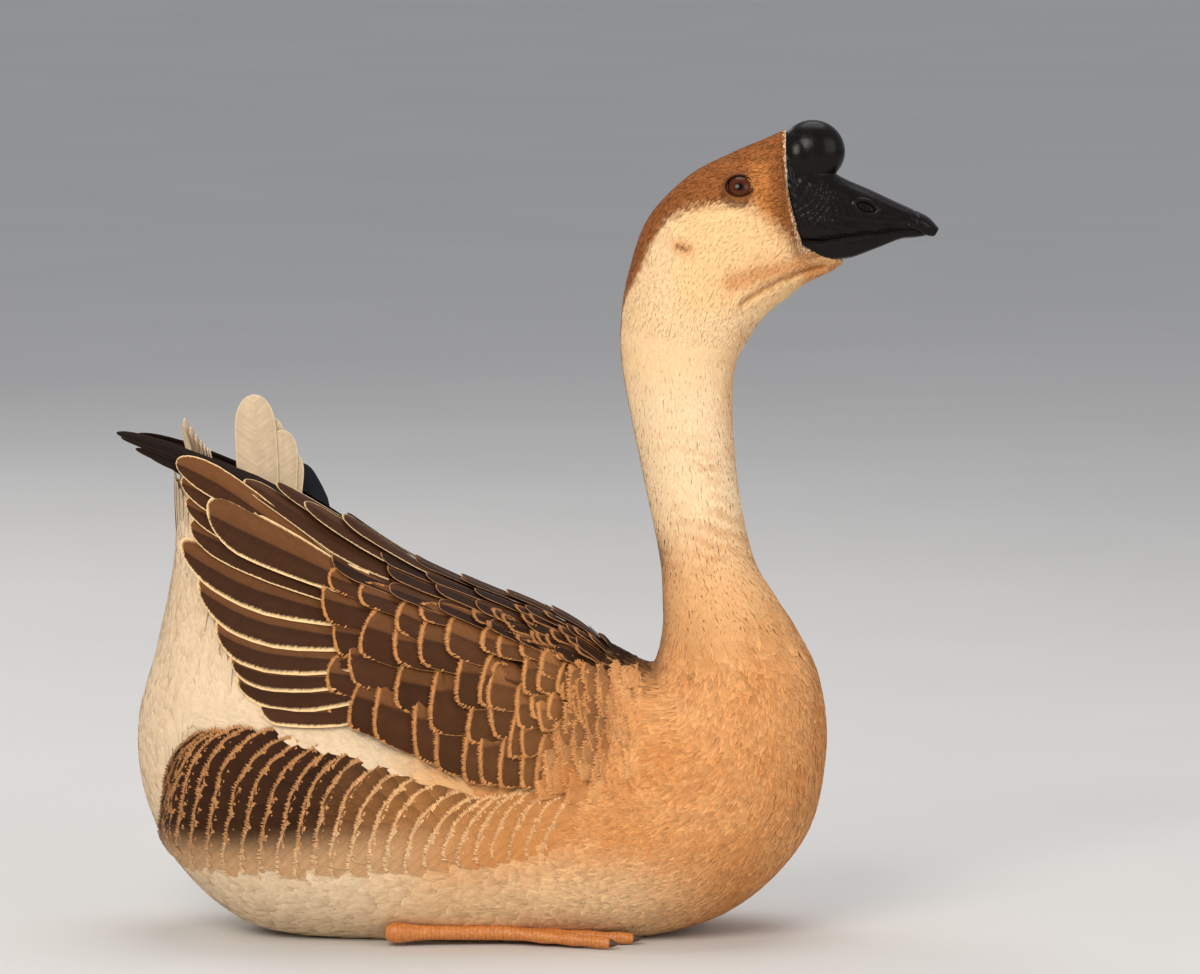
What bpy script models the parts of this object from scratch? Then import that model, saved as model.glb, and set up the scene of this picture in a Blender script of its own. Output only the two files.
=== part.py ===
"""A Chinese goose, brown variety, as a still life-size model that rests on its belly with the feet tucked
under. Metres, +Z up, the bird faces +X and the floor is at z = 0. The sizes below are in millimetres of
the bird's own frame, whose x = 0 lies under the middle of the body. CENTRE moves it onto its bounding box."""

import math
import random

import bmesh
import bpy
from mathutils import Matrix, Vector
from mathutils.bvhtree import BVHTree

MM = 0.001
CENTRE = Vector((30.6, 0.0, 0.0))
GAP = 0.3
NEAR = -1
FAR = 1

RING_POINTS = 24
RINGS_PER_SPAN = 2
ROUGH_POINTS = 20
ROUGH_GROW = 2.4
LONG_STATIONS = (0.0, 0.35, 0.7, 0.92, 1.0)
SHORT_STATIONS = (0.0, 0.5, 0.87, 1.0)

# The flesh and down as one loft from the tail to the forehead. Each station is one flat ring:
# top (x, z), bottom (x, z), half width, height of the widest line, squareness above and below it.
BODY = (
    ((-172, 292), (-185, 292), 8, 0.50, 2.0, 2.0),
    ((-160, 274), (-188, 275), 19, 0.50, 2.0, 2.0),
    ((-146, 250), (-189, 250), 31, 0.50, 2.0, 2.1),
    ((-131, 236), (-192, 222), 43, 0.50, 2.0, 2.2),
    ((-115, 231), (-201, 180), 58, 0.50, 2.0, 2.2),
    ((-95, 229), (-213, 132), 72, 0.49, 2.0, 2.2),
    ((-74, 226), (-208, 84), 82, 0.48, 2.0, 2.2),
    ((-50, 221), (-184, 38), 88, 0.47, 1.9, 2.2),
    ((-22, 213), (-138, 4), 90, 0.46, 1.8, 2.4),
    ((10, 205), (-64, -5), 91, 0.45, 1.8, 2.5),
    ((41, 197), (16, -5), 91, 0.45, 1.7, 2.5),
    ((68, 187), (90, -4), 91, 0.46, 1.7, 2.5),
    ((88, 177), (156, 14), 91, 0.49, 1.8, 2.3),
    ((101, 169), (202, 58), 87, 0.50, 1.9, 2.2),
    ((107, 167), (216, 112), 78, 0.50, 2.0, 2.1),
    ((111, 174), (212, 158), 65, 0.50, 2.0, 2.0),
    ((114, 190), (198, 189), 52, 0.50, 2.0, 2.0),
    ((114, 208), (184, 211), 42, 0.50, 2.0, 2.0),
    ((112, 236), (170, 237), 34, 0.50, 2.0, 2.0),
    ((101, 290), (160, 289), 29, 0.50, 2.0, 2.0),
    ((89, 352), (158, 346), 30, 0.50, 2.0, 2.0),
    ((88, 384), (166, 369), 32, 0.50, 2.0, 2.0),
    ((93, 414), (179, 387), 33, 0.50, 2.0, 2.0),
    ((105, 447), (193, 398), 31, 0.53, 2.0, 2.0),
    ((130, 473), (202, 406), 29, 0.54, 2.1, 2.0),
    ((156, 487), (205, 412), 26, 0.54, 2.1, 2.0),
    ((177, 496), (205, 417), 22, 0.52, 2.1, 2.0),
    ((190, 502), (202, 421), 17, 0.50, 2.2, 2.2),
)
TAIL_CUT = 3
BREAST_CUT = 11
NECK_CUT = 16
NECK_MIDDLE = 19
HEAD_CUT = 21
LAST = len(BODY) - 1

# The near wing's outer surface: x, then the upper edge (y, z) beside the back's midline, the groove
# (y, z) between the scapulars and the coverts, the lower edge (y, z), and how far each part bulges.
WING = (
    (98, (0.4, 168), (40, 150), (68, 108), 3, 5),
    (66, (0.4, 191), (47, 170), (88, 103), 5, 10),
    (36, (0.4, 205), (50, 182), (92, 101), 6, 13),
    (-2, (0.4, 217), (51, 197), (94, 104), 6, 14),
    (-34, (1.0, 230), (51, 209), (94, 116), 5, 14),
    (-60, (3.0, 245), (51, 219), (92, 130), 4, 13),
    (-84, (8.0, 260), (51, 229), (88, 140), 4, 11),
    (-112, (18, 275), (53, 248), (83, 148), 3, 9),
    (-134, (28, 288), (54, 264), (77, 155), 2, 6),
    (-160, (40, 300), (54, 281), (68, 172), 1, 5),
    (-190, (46, 312), (55, 296), (61, 205), 0, 3),
    (-226, (45, 322), (52, 308), (57, 250), 0, 1),
)
WING_X = [row[0] for row in WING]
CORE_FRONT = 86
CORE_REAR = -92
CORE_STEPS = 9
CORE_DEEP = 17.0
CORE_THIN = 5.0
CORE_TAPER_START = 0.55
CORE_BACK_SPANS = 3
CORE_SIDE_SPANS = 5
FAR_WING_DROP = 0.055
FAR_WING_SHORT = 8.0

# Where the trailing feathers end, from the top of the wing to its lower edge.
SECONDARY_TIPS_X = (-188, -186, -180, -180, -184, -174, -163, -152, -140, -122)
SECONDARY_TIPS = (-0.02, 0.11, 0.24, 0.37, 0.52, 0.68, 0.80, 0.90, 0.98, 1.02)
SECONDARY_ROOT_X = -78
SECONDARY_WIDTH = 24
PRIMARY_TIPS_X = (-224, -212, -190, -172)
PRIMARY_TIPS = (0.30, 0.75, 0.95, 1.10)
PRIMARY_ROOT_X = -76
PRIMARY_WIDTH = 15
TERTIAL_TIPS_X = (-168, -147, -135, -111, -89)
TERTIAL_TIPS = (1.22, 0.55, 0.12, 0.20, 0.16)
TERTIAL_LENGTH = 88
TERTIAL_WIDTH = 23
SCAPULAR_ROWS = ((0.78, -60), (0.46, -42), (0.13, -48))
SCAPULARS_A_ROW = 4
SCAPULAR_STEP = 33
SCAPULAR_LENGTH = 54
SCAPULAR_WIDTH = 20
COVERT_COLUMNS = 6
COVERT_STEP = 22.0
COVERT_ROWS = 4
COVERT_LENGTH = 42

BILL_UPPER = (
    ((186, 490), (196, 434.0), 14.5),
    ((203, 487), (208, 433.3), 14.8),
    ((214, 479), (219, 434.8), 14.3),
    ((226, 471.5), (231, 436.5), 13.6),
    ((243, 464), (246, 438.6), 12.6),
    ((259, 456.5), (260, 440.4), 11.4),
    ((270, 451.5), (270, 440.0), 10.2),
    ((279, 447), (277.5, 436.4), 8.2),
    ((285.5, 440), (282.5, 435.3), 4.0),
)
BILL_LOWER = (
    ((196, 433.4), (197, 421), 12.6),
    ((208, 433.0), (211, 417.5), 13.0),
    ((219, 434.5), (222, 417.5), 12.6),
    ((231, 436.2), (232, 420.0), 11.8),
    ((246, 438.3), (247, 427.5), 10.6),
    ((260, 440.1), (261, 433.0), 9.0),
    ((271, 439.2), (272, 434.9), 6.0),
)
KNOB_CENTRE = (207, 0, 488)
KNOB_RADII = (20, 14.5, 19.5)
NOSTRIL_CENTRE = (240, 12.4, 454.5)
NOSTRIL_RADII = (7.0, 3.0, 3.4)
NOSTRIL_TILT = 22

EYE_X = 161.5
EYE_Z = 466.0
EYE_RADIUS = 9.2
EYE_OUT = 2.6
LID_RADIUS = 8.6
LID_THICK = 1.5
LID_OUT = 0.2

# The tail's quills fan out from their roots. The outer ones lean back and end higher.
RECTRICES = 8
TAIL_STACK = 1.5
RECTRIX_WIDTH = 18
TAIL_ROOT_X = -160
TAIL_ROOT_Z = 238
TAIL_ROOT_SPREAD = 12
TAIL_TIP_X = -167
TAIL_TIP_Z = 302
TAIL_HALF_SPREAD = 19
OUTER_QUILL_BACK = 12
OUTER_QUILL_RISE = 19
UNDER_COVERTS = 5
UNDER_COVERT_ROOT = (-186, 16, 226)
UNDER_COVERT_TIP = (-191, 20, 293)
UNDER_COVERT_WIDTH = 13
OUTER_UNDER_COVERT = (4, 7, 16)
# Each white covert over the tail's root: root x, tip x, tip z, width, y.
UPPER_COVERTS = ((-138, -140, 337, 27, 0), (-131, -125, 317, 22, 5), (-126, -115, 300, 20, -5))
UPPER_COVERT_ROOT_Z = 236
UPPER_COVERT_BOW = 6

HEEL = (-52, 69, 8.5)
TOE_ROOT = (16, 63, 7.5)
TOE_TIPS = ((80, 45, 4.2), (94, 64, 4.2), (80, 84, 4.2))
HIND_TOE = (4, 52, 4.5)
HIND_TOE_BACK = 8
HIND_CLAW_RADIUS = 1.6
HEEL_LENGTH = 6
HEEL_GROWTH = 0.9
TARSUS_RADIUS = 5.6
TARSUS_OVERLAP = 4
TOE_RADIUS = 4.2
CLAW_LENGTH = 7
CLAW_RADIUS = 0.9
WEB_DENT = 9
WEB_LOW = 1.4
WEB_HIGH = 3.8


def mix(values, t):
    """A smooth value at place t in a row of stations (Catmull-Rom)."""
    i = max(0, min(int(math.floor(t)), len(values) - 2))
    f = t - i
    p0 = values[max(i - 1, 0)]
    p1 = values[i]
    p2 = values[i + 1]
    p3 = values[min(i + 2, len(values) - 1)]
    second = 2 * p0 - 5 * p1 + 4 * p2 - p3
    third = 3 * p1 - p0 - 3 * p2 + p3
    return 0.5 * (2 * p1 + (p2 - p0) * f + second * f * f + third * f * f * f)


def flat(row):
    values = []
    for item in row:
        values.extend(item if isinstance(item, tuple) else (item,))
    return values


def station(table, t):
    return [mix(column, t) for column in zip(*[flat(row) for row in table])]


def body_ring(t, shift=0.0, points=RING_POINTS):
    """The ring at place t of the body, moved by shift along the loft."""
    tx, tz, bx, bz, width, widest, top_square, low_square = station(BODY, t)
    up = Vector((tx - bx, 0, tz - bz))
    low = Vector((bx, 0, bz)) + Vector((up.z, 0, -up.x)).normalized() * shift
    ring = []
    for k in range(points):
        turn = 2 * math.pi * k / points
        c = math.cos(turn)
        s = math.sin(turn)
        square = top_square if c >= 0 else low_square
        reach = (1 - widest) if c >= 0 else widest
        height = widest + math.copysign(reach * abs(c) ** (2 / square), c)
        side = math.copysign(width * abs(s) ** (2 / square), s)
        ring.append(low + up * height + Vector((0, side, 0)))
    return ring


def oval_ring(t, table, points=14):
    """A ring of the bill: top (x, z), bottom (x, z) and half width."""
    tx, tz, bx, bz, width = station(table, t)
    top = Vector((tx, 0, tz))
    low = Vector((bx, 0, bz))
    middle = (top + low) / 2
    up = (top - low) / 2
    ring = []
    for k in range(points):
        turn = 2 * math.pi * (k + 0.5) / points
        c = math.cos(turn)
        s = math.sin(turn)
        square = 2.0 if c > 0 else 4.5
        side = math.copysign(width * abs(s) ** (2 / square), s)
        ring.append(middle + up * math.copysign(abs(c) ** (2 / square), c) + Vector((0, side, 0)))
    return ring


def link(name, mesh):
    made = bpy.data.objects.new(name, mesh)
    bpy.context.scene.collection.objects.link(made)
    return made


def mesh_object(name, points, faces):
    """An object in metres, from points in the bird's millimetres."""
    mesh = bpy.data.meshes.new(name)
    mesh.from_pydata([(Vector(p) - CENTRE) * MM for p in points], [], faces)
    bm = bmesh.new()
    bm.from_mesh(mesh)
    bmesh.ops.recalc_face_normals(bm, faces=bm.faces)
    bm.to_mesh(mesh)
    bm.free()
    return link(name, mesh)


def loft(name, rings):
    """A closed body through rings with the same number of points, its ends closed flat."""
    count = len(rings[0])
    points = [p for ring in rings for p in ring]
    faces = []
    for i in range(len(rings) - 1):
        for k in range(count):
            a = i * count + k
            b = i * count + (k + 1) % count
            faces.append((a, b, b + count))
            faces.append((a, b + count, a + count))
    faces.append(tuple(range(count)))
    faces.append(tuple(range(len(points) - count, len(points))))
    return mesh_object(name, points, faces)


def body_length(name, start, end, start_gap=0.0, end_gap=0.0):
    """The stretch of the body between two stations."""
    steps = (end - start) * RINGS_PER_SPAN
    rings = []
    for i in range(steps + 1):
        shift = start_gap if i == 0 else -end_gap if i == steps else 0.0
        rings.append(body_ring(start + i / RINGS_PER_SPAN, shift))
    return loft(name, rings)


def rough_flesh():
    """The body with fewer faces, grown until it holds all of the real one. It cuts the wings clear."""
    rings = [body_ring(t, points=ROUGH_POINTS) for t in range(NECK_CUT + 1)]
    return swell(loft("flesh", rings), ROUGH_GROW)


def swell(obj, grow):
    """Moves every face of obj outward by grow."""
    bm = bmesh.new()
    bm.from_mesh(obj.data)
    bm.normal_update()
    moves = [vert.normal * (grow * MM * vert.calc_shell_factor()) for vert in bm.verts]
    for vert, move in zip(bm.verts, moves):
        vert.co += move
    bm.to_mesh(obj.data)
    bm.free()
    return obj


def primitive(name, make, matrix):
    """A bmesh primitive of unit size, placed by a matrix in the bird's millimetres."""
    mesh = bpy.data.meshes.new(name)
    bm = bmesh.new()
    make(bm)
    bm.transform(Matrix.Scale(MM, 4) @ Matrix.Translation(-CENTRE) @ matrix)
    bm.to_mesh(mesh)
    bm.free()
    return link(name, mesh)


def ball(name, centre, radii, tilt=0.0, segments=16, rings=10):
    """An ellipsoid with its poles across the bird, tilted about the Y axis."""
    def make(bm):
        bmesh.ops.create_uvsphere(bm, u_segments=segments, v_segments=rings, radius=1.0)

    turn = Matrix.Rotation(math.radians(90), 4, "X")
    tilt_matrix = Matrix.Rotation(math.radians(tilt), 4, "Y")
    scale = Matrix.Diagonal((*radii, 1))
    return primitive(name, make, Matrix.Translation(Vector(centre)) @ tilt_matrix @ scale @ turn)


def block(name, low, high):
    def make(bm):
        bmesh.ops.create_cube(bm, size=1.0)

    low = Vector(low)
    high = Vector(high)
    scale = Matrix.Diagonal((*(high - low), 1))
    return primitive(name, make, Matrix.Translation((low + high) / 2) @ scale)


def tube(name, points, radii, sides=6):
    """A round limb through the points, its rings all turned alike so that it isn't twisted."""
    rings = []
    across = None
    for i, (point, radius) in enumerate(zip(points, radii)):
        before = Vector(points[max(i - 1, 0)])
        after = Vector(points[min(i + 1, len(points) - 1)])
        ahead = (after - before).normalized()
        across = ahead.orthogonal() if across is None else across - ahead * across.dot(ahead)
        across.normalize()
        other = ahead.cross(across)
        ring = []
        for k in range(sides):
            turn = 2 * math.pi * (k + 0.5) / sides
            ring.append(Vector(point) + (across * math.cos(turn) + other * math.sin(turn)) * radius)
        rings.append(ring)
    return loft(name, rings)


def apply_boolean(obj, operation, other=None, collection=None, solver="EXACT"):
    modifier = obj.modifiers.new(operation.lower(), "BOOLEAN")
    modifier.operation = operation
    modifier.solver = solver
    if collection is None:
        modifier.object = other
    else:
        modifier.operand_type = "COLLECTION"
        modifier.collection = collection
    bpy.context.view_layer.update()
    graph = bpy.context.evaluated_depsgraph_get()
    mesh = bpy.data.meshes.new_from_object(obj.evaluated_get(graph))
    obj.modifiers.clear()
    old = obj.data
    obj.data = mesh
    bpy.data.meshes.remove(old)


def keep_largest(obj):
    """Keeps only the largest closed surface, which fills sealed hollows and drops scraps."""
    bm = bmesh.new()
    bm.from_mesh(obj.data)
    bmesh.ops.triangulate(bm, faces=bm.faces)
    left = set(bm.faces)
    shells = []
    while left:
        stack = [left.pop()]
        shell = set(stack)
        while stack:
            for edge in stack.pop().edges:
                for face in edge.link_faces:
                    if face in left:
                        left.remove(face)
                        shell.add(face)
                        stack.append(face)
        shells.append(shell)
    shells.sort(key=lambda shell: sum(face.calc_area() for face in shell))
    scraps = [face for shell in shells[:-1] for face in shell]
    bmesh.ops.delete(bm, geom=scraps, context="FACES")
    bm.to_mesh(obj.data)
    bm.free()


def cut(obj, *cutters):
    """Cuts the cutters out of obj and removes them."""
    for cutter in cutters:
        apply_boolean(obj, "DIFFERENCE", cutter)
        bpy.data.objects.remove(cutter)
    keep_largest(obj)


def fuse(obj, pieces):
    """Joins the pieces to obj in one union and removes them."""
    group = bpy.data.collections.new("pieces")
    bpy.context.scene.collection.children.link(group)
    for piece in pieces:
        bpy.context.scene.collection.objects.unlink(piece)
        group.objects.link(piece)
    apply_boolean(obj, "UNION", collection=group, solver="MANIFOLD")
    for piece in pieces:
        bpy.data.objects.remove(piece)
    bpy.data.collections.remove(group)
    keep_largest(obj)


def below_floor():
    return block("floor", (-400, -300, -60), (400, 300, 0))


def vane(points, normals, width, name="vane", thick=0.7, ridge=0.5, roll=0.0, stations=None, narrow=0.5):
    """A feather along the points: narrow at its root, round at its tip and ridged along its shaft.
    points and normals are functions of f, from 0 at the root to 1 at the tip."""
    stations = stations or LONG_STATIONS
    lines = ((-1, 0), (0, ridge), (1, 0)) if ridge else ((-1, 0), (1, 0))
    verts = []
    for f in stations:
        middle = points(f)
        along = (points(min(f + 0.04, 1.0)) - points(max(f - 0.04, 0.0))).normalized()
        normal = normals(f)
        normal = (normal - along * normal.dot(along)).normalized()
        across = Matrix.Rotation(roll, 3, along) @ normal.cross(along)
        normal = along.cross(across)
        swell_out = narrow + (1 - narrow) * math.sin(min(f / 0.5, 1.0) * math.pi / 2)
        rounding = math.sqrt(1 - max(0.0, (f - 0.8) / 0.22) ** 2.5)
        half = across * (width / 2 * swell_out * rounding)
        for side, height in lines:
            verts.append(middle + half * side + normal * height)
            verts.append(middle + half * side + normal * (height * 0.5 - thick))
    size = 2 * len(lines)
    last = size - 2
    end = (len(stations) - 1) * size
    faces = []
    for a in range(0, end, size):
        b = a + size
        for k in range(0, last, 2):
            faces.append((a + k, a + k + 2, b + k + 2))
            faces.append((a + k, b + k + 2, b + k))
            faces.append((a + k + 1, b + k + 3, a + k + 3))
            faces.append((a + k + 1, b + k + 1, b + k + 3))
        for k in (0, last):
            faces.append((a + k, b + k, b + k + 1))
            faces.append((a + k, b + k + 1, a + k + 1))
    for a in (0, end):
        for k in range(0, last, 2):
            faces.append((a + k, a + k + 2, a + k + 3, a + k + 1))
    return mesh_object(name, verts, faces)


def plain_vane(root, tip, normal, width, bow=0.0, **shape):
    """A feather from root to tip, bowed forward by bow."""
    def points(f):
        return root.lerp(tip, f) + Vector((bow * math.sin(math.pi * f), 0, 0))

    return vane(points, lambda f: normal.normalized(), width, **shape)


def wing_station(x):
    """The wing's row of sizes at x, from the two rows around it."""
    for i in range(len(WING_X) - 1):
        if x >= WING_X[i + 1]:
            break
    return station(WING, i + (WING_X[i] - x) / (WING_X[i] - WING_X[i + 1]))


def wing_flat(x, t, back):
    """A place on the near wing as (x, distance from the midline, z). On the back part, t runs from
    the midline to the groove, and on the side part from the groove to the wing's lower edge."""
    _, uy, uz, gy, gz, ly, lz, back_bulge, side_bulge = wing_station(x)
    start = Vector((uy, uz)) if back else Vector((gy, gz))
    end = Vector((gy, gz)) if back else Vector((ly, lz))
    bulge = back_bulge if back else side_bulge
    chord = end - start
    out = Vector((-chord.y, chord.x)).normalized()
    inside = max(0.0, min(1.0, t))
    place = start + chord * t + out * (bulge * 4 * inside * (1 - inside))
    return Vector((x, place.x, place.y))


def wing_place(side, x, t, back, height=0.0):
    """The point of the wing on one side, raised by height over its surface."""
    here = wing_flat(x, t, back)
    ahead = wing_flat(x + 2, t, back) - wing_flat(x - 2, t, back)
    down = wing_flat(x, t + 0.02, back) - wing_flat(x, t - 0.02, back)
    normal = ahead.cross(down).normalized()
    point = here + normal * height
    if side == FAR:
        behind = max(0.0, -40.0 - x)
        point.z -= behind * FAR_WING_DROP
        point.x += behind / 180 * FAR_WING_SHORT
    return Vector((point.x, point.y * side, point.z)), Vector((normal.x, normal.y * side, normal.z))


def wing_vane(side, root, tip, back, width, heights, sag=0.0, **shape):
    """A feather that lies on the wing from root to tip, both as (x, t)."""
    def place(f):
        x = root[0] + (tip[0] - root[0]) * f
        t = root[1] + (tip[1] - root[1]) * f + sag * math.sin(math.pi * f)
        height = heights[0] + (heights[1] - heights[0]) * f ** 0.8
        return wing_place(side, x, t, back, height)

    shape["roll"] = shape.get("roll", 0.0) * side
    return vane(lambda f: place(f)[0], lambda f: place(f)[1], width, **shape)


def secondaries(side):
    count = len(SECONDARY_TIPS)
    for i in range(count):
        root = (SECONDARY_ROOT_X - 3 * (i % 2), 0.02 + 0.92 * (i / (count - 1)) ** 1.15)
        tip = (SECONDARY_TIPS_X[i], SECONDARY_TIPS[i])
        yield wing_vane(side, root, tip, False, SECONDARY_WIDTH, (-2.6, 1.2), roll=0.17, narrow=0.6)


def primaries(side):
    for i, (tip_x, tip_t) in enumerate(zip(PRIMARY_TIPS_X, PRIMARY_TIPS)):
        root = (PRIMARY_ROOT_X, 0.25 + 0.22 * i)
        yield wing_vane(side, root, (tip_x, tip_t), True, PRIMARY_WIDTH, (-3.6, -0.6), roll=0.15)


def tertials(side):
    for i, (tip_x, tip_t) in enumerate(zip(TERTIAL_TIPS_X, TERTIAL_TIPS)):
        root = (tip_x + TERTIAL_LENGTH, min(tip_t + 0.25, 0.9))
        high = 4.2 + 1.6 * i
        yield wing_vane(side, root, (tip_x, tip_t), True, TERTIAL_WIDTH, (-2.0, high), roll=0.06, narrow=0.6)


def scapulars(side, chance):
    for t, last in SCAPULAR_ROWS:
        for i in range(SCAPULARS_A_ROW):
            tip = (last + SCAPULAR_STEP * i, t + chance.uniform(-0.04, 0.04))
            root = (min(tip[0] + SCAPULAR_LENGTH, 84), t - 0.04)
            high = 3.4 if last < -50 or i else 5.2
            width = SCAPULAR_WIDTH - 1.2 * i
            yield wing_vane(side, root, tip, True, width, (-2.2, high), stations=SHORT_STATIONS)


def coverts(side, chance):
    """Columns of coverts in front of the trailing feathers, each lapping the next one behind it."""
    for column in range(COVERT_COLUMNS):
        tip_x = -95 + COVERT_STEP * column
        for row in range(COVERT_ROWS):
            t = (row + 0.5 + 0.45 * (column % 2)) / (COVERT_ROWS + 0.4)
            tip = (tip_x + chance.uniform(-2, 2) - 6 * abs(t - 0.4), t)
            root = (min(tip[0] + COVERT_LENGTH, 82), t - 0.05)
            width = 30 - 0.7 * column
            yield wing_vane(side, root, tip, False, width, (-2.2, 2.6), roll=0.09, ridge=0,
                            stations=SHORT_STATIONS, narrow=0.7)


def wing_core(side):
    """The folded wing's body: its outer surface, and inside it either the flesh or a thin wall."""
    rings = []
    for i in range(CORE_STEPS):
        f = i / (CORE_STEPS - 1)
        x = CORE_FRONT + (CORE_REAR - CORE_FRONT) * f
        taper = max(0.0, (f - CORE_TAPER_START) / (1 - CORE_TAPER_START))
        deep = CORE_DEEP + (CORE_THIN - CORE_DEEP) * taper
        places = [(k / CORE_BACK_SPANS, True) for k in range(CORE_BACK_SPANS + 1)]
        places.extend(((k + 1) / CORE_SIDE_SPANS, False) for k in range(CORE_SIDE_SPANS))
        outer = [wing_place(side, x, t, back)[0] for t, back in places]
        inner = [wing_place(side, x, t, back, -deep)[0] for t, back in places]
        for point in inner:
            point.y = side * max(abs(point.y), 0.4)
        rings.append(outer + inner[::-1])
    return loft("core", rings)


def wing(name, side):
    chance = random.Random(7)
    made = wing_core(side)
    made.name = name
    pieces = []
    pieces.extend(secondaries(side))
    pieces.extend(primaries(side))
    pieces.extend(tertials(side))
    pieces.extend(scapulars(side, chance))
    pieces.extend(coverts(side, chance))
    fuse(made, pieces)
    across = block("midline", (-400, -GAP / 2, -50), (400, 300, 600))
    if side == FAR:
        across.data.transform(Matrix.Diagonal((1, -1, 1, 1)))
        across.data.flip_normals()
    cut(made, across, rough_flesh())
    return made


def tail():
    """The cocked tail: its quills in one fan, with the white coverts under and over their roots."""
    made = body_length("tail", 0, TAIL_CUT, end_gap=GAP / 2)
    pieces = []
    for i in range(RECTRICES):
        a = 2 * i / (RECTRICES - 1) - 1
        under = TAIL_STACK * abs(i - (RECTRICES - 1) / 2)
        root = Vector((TAIL_ROOT_X - under, TAIL_ROOT_SPREAD * a, TAIL_ROOT_Z))
        tip_x = TAIL_TIP_X - under - OUTER_QUILL_BACK * a * a
        tip = Vector((tip_x, TAIL_HALF_SPREAD * a, TAIL_TIP_Z + OUTER_QUILL_RISE * a * a))
        pieces.append(plain_vane(root, tip, Vector((1, -0.3 * a, 0)), RECTRIX_WIDTH))
    for i in range(UNDER_COVERTS):
        a = 2 * i / (UNDER_COVERTS - 1) - 1
        tuck, curve, drop = OUTER_UNDER_COVERT
        root_x, root_y, root_z = UNDER_COVERT_ROOT
        tip_x, tip_y, tip_z = UNDER_COVERT_TIP
        root = Vector((root_x + tuck * abs(a), root_y * a, root_z + tuck * abs(a)))
        tip = Vector((tip_x + curve * a * a, tip_y * a, tip_z - drop * abs(a)))
        normal = Vector((-1, 0.5 * a, 0.2))
        pieces.append(plain_vane(root, tip, normal, UNDER_COVERT_WIDTH, stations=SHORT_STATIONS, ridge=0))
    for root_x, tip_x, tip_z, width, y in UPPER_COVERTS:
        root = Vector((root_x, y, UPPER_COVERT_ROOT_Z))
        tip = Vector((tip_x, y * 0.6, tip_z))
        pieces.append(plain_vane(root, tip, Vector((0.15, -1, 0)), width, bow=UPPER_COVERT_BOW, narrow=0.6))
    fuse(made, pieces)
    cut(made, swell(body_length("flesh", TAIL_CUT, BREAST_CUT, start_gap=GAP / 2), GAP / 2))
    return made


def surface_y(obj, x, z):
    """Half the width of obj at (x, z) in the bird's millimetres."""
    tree = BVHTree.FromObject(obj, bpy.context.evaluated_depsgraph_get())
    start = (Vector((x, -200, z)) - CENTRE) * MM
    hit = tree.ray_cast(start, Vector((0, 1, 0)))[0]
    return -hit.y / MM


def lid_ring(centre):
    """A ring round the eye, in the plane of the head's side."""
    bpy.ops.mesh.primitive_torus_add(
        major_radius=LID_RADIUS * MM,
        minor_radius=LID_THICK * MM,
        major_segments=12,
        minor_segments=4,
        location=(centre - CENTRE) * MM,
        rotation=(math.pi / 2, 0, 0),
    )
    made = bpy.context.object
    made.name = "lid"
    # The ring is made in the active collection, and fuse takes its pieces from the scene's own.
    made.users_collection[0].objects.unlink(made)
    bpy.context.scene.collection.objects.link(made)
    made.data.transform(made.matrix_basis)
    made.matrix_basis = Matrix.Identity(4)
    return made


def head_and_eyes():
    made = body_length("head", HEAD_CUT, LAST, start_gap=GAP / 2)
    half = surface_y(made, EYE_X, EYE_Z)
    eyes = []
    sockets = []
    lids = []
    for name, side in (("eye_right", NEAR), ("eye_left", FAR)):
        centre = Vector((EYE_X, side * (half + EYE_OUT - EYE_RADIUS), EYE_Z))
        eyes.append(ball(name, centre, (EYE_RADIUS,) * 3, segments=14, rings=8))
        sockets.append(ball("socket", centre, (EYE_RADIUS + 2 * GAP,) * 3, segments=12, rings=8))
        lids.append(lid_ring(Vector((EYE_X, side * (half + LID_OUT), EYE_Z))))
    fuse(made, lids)
    cut(made, *sockets)
    return made, eyes


def bill():
    upper = loft("bill_upper", [oval_ring(i, BILL_UPPER) for i in range(len(BILL_UPPER))])
    fuse(upper, [ball("knob", KNOB_CENTRE, KNOB_RADII, segments=14, rings=8)])
    for side in (NEAR, FAR):
        x, y, z = NOSTRIL_CENTRE
        cut(upper, ball("nostril", (x, y * side, z), NOSTRIL_RADII, NOSTRIL_TILT, 8, 6))
    cut(upper, swell(body_length("flesh", HEAD_CUT, LAST), GAP))
    lower = loft("bill_lower", [oval_ring(i, BILL_LOWER) for i in range(len(BILL_LOWER))])
    cut(lower, swell(body_length("flesh", HEAD_CUT, LAST), GAP))
    cut(lower, swell(loft("mouth", [oval_ring(i, BILL_UPPER) for i in range(len(BILL_UPPER))]), GAP))
    return upper, lower


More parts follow.
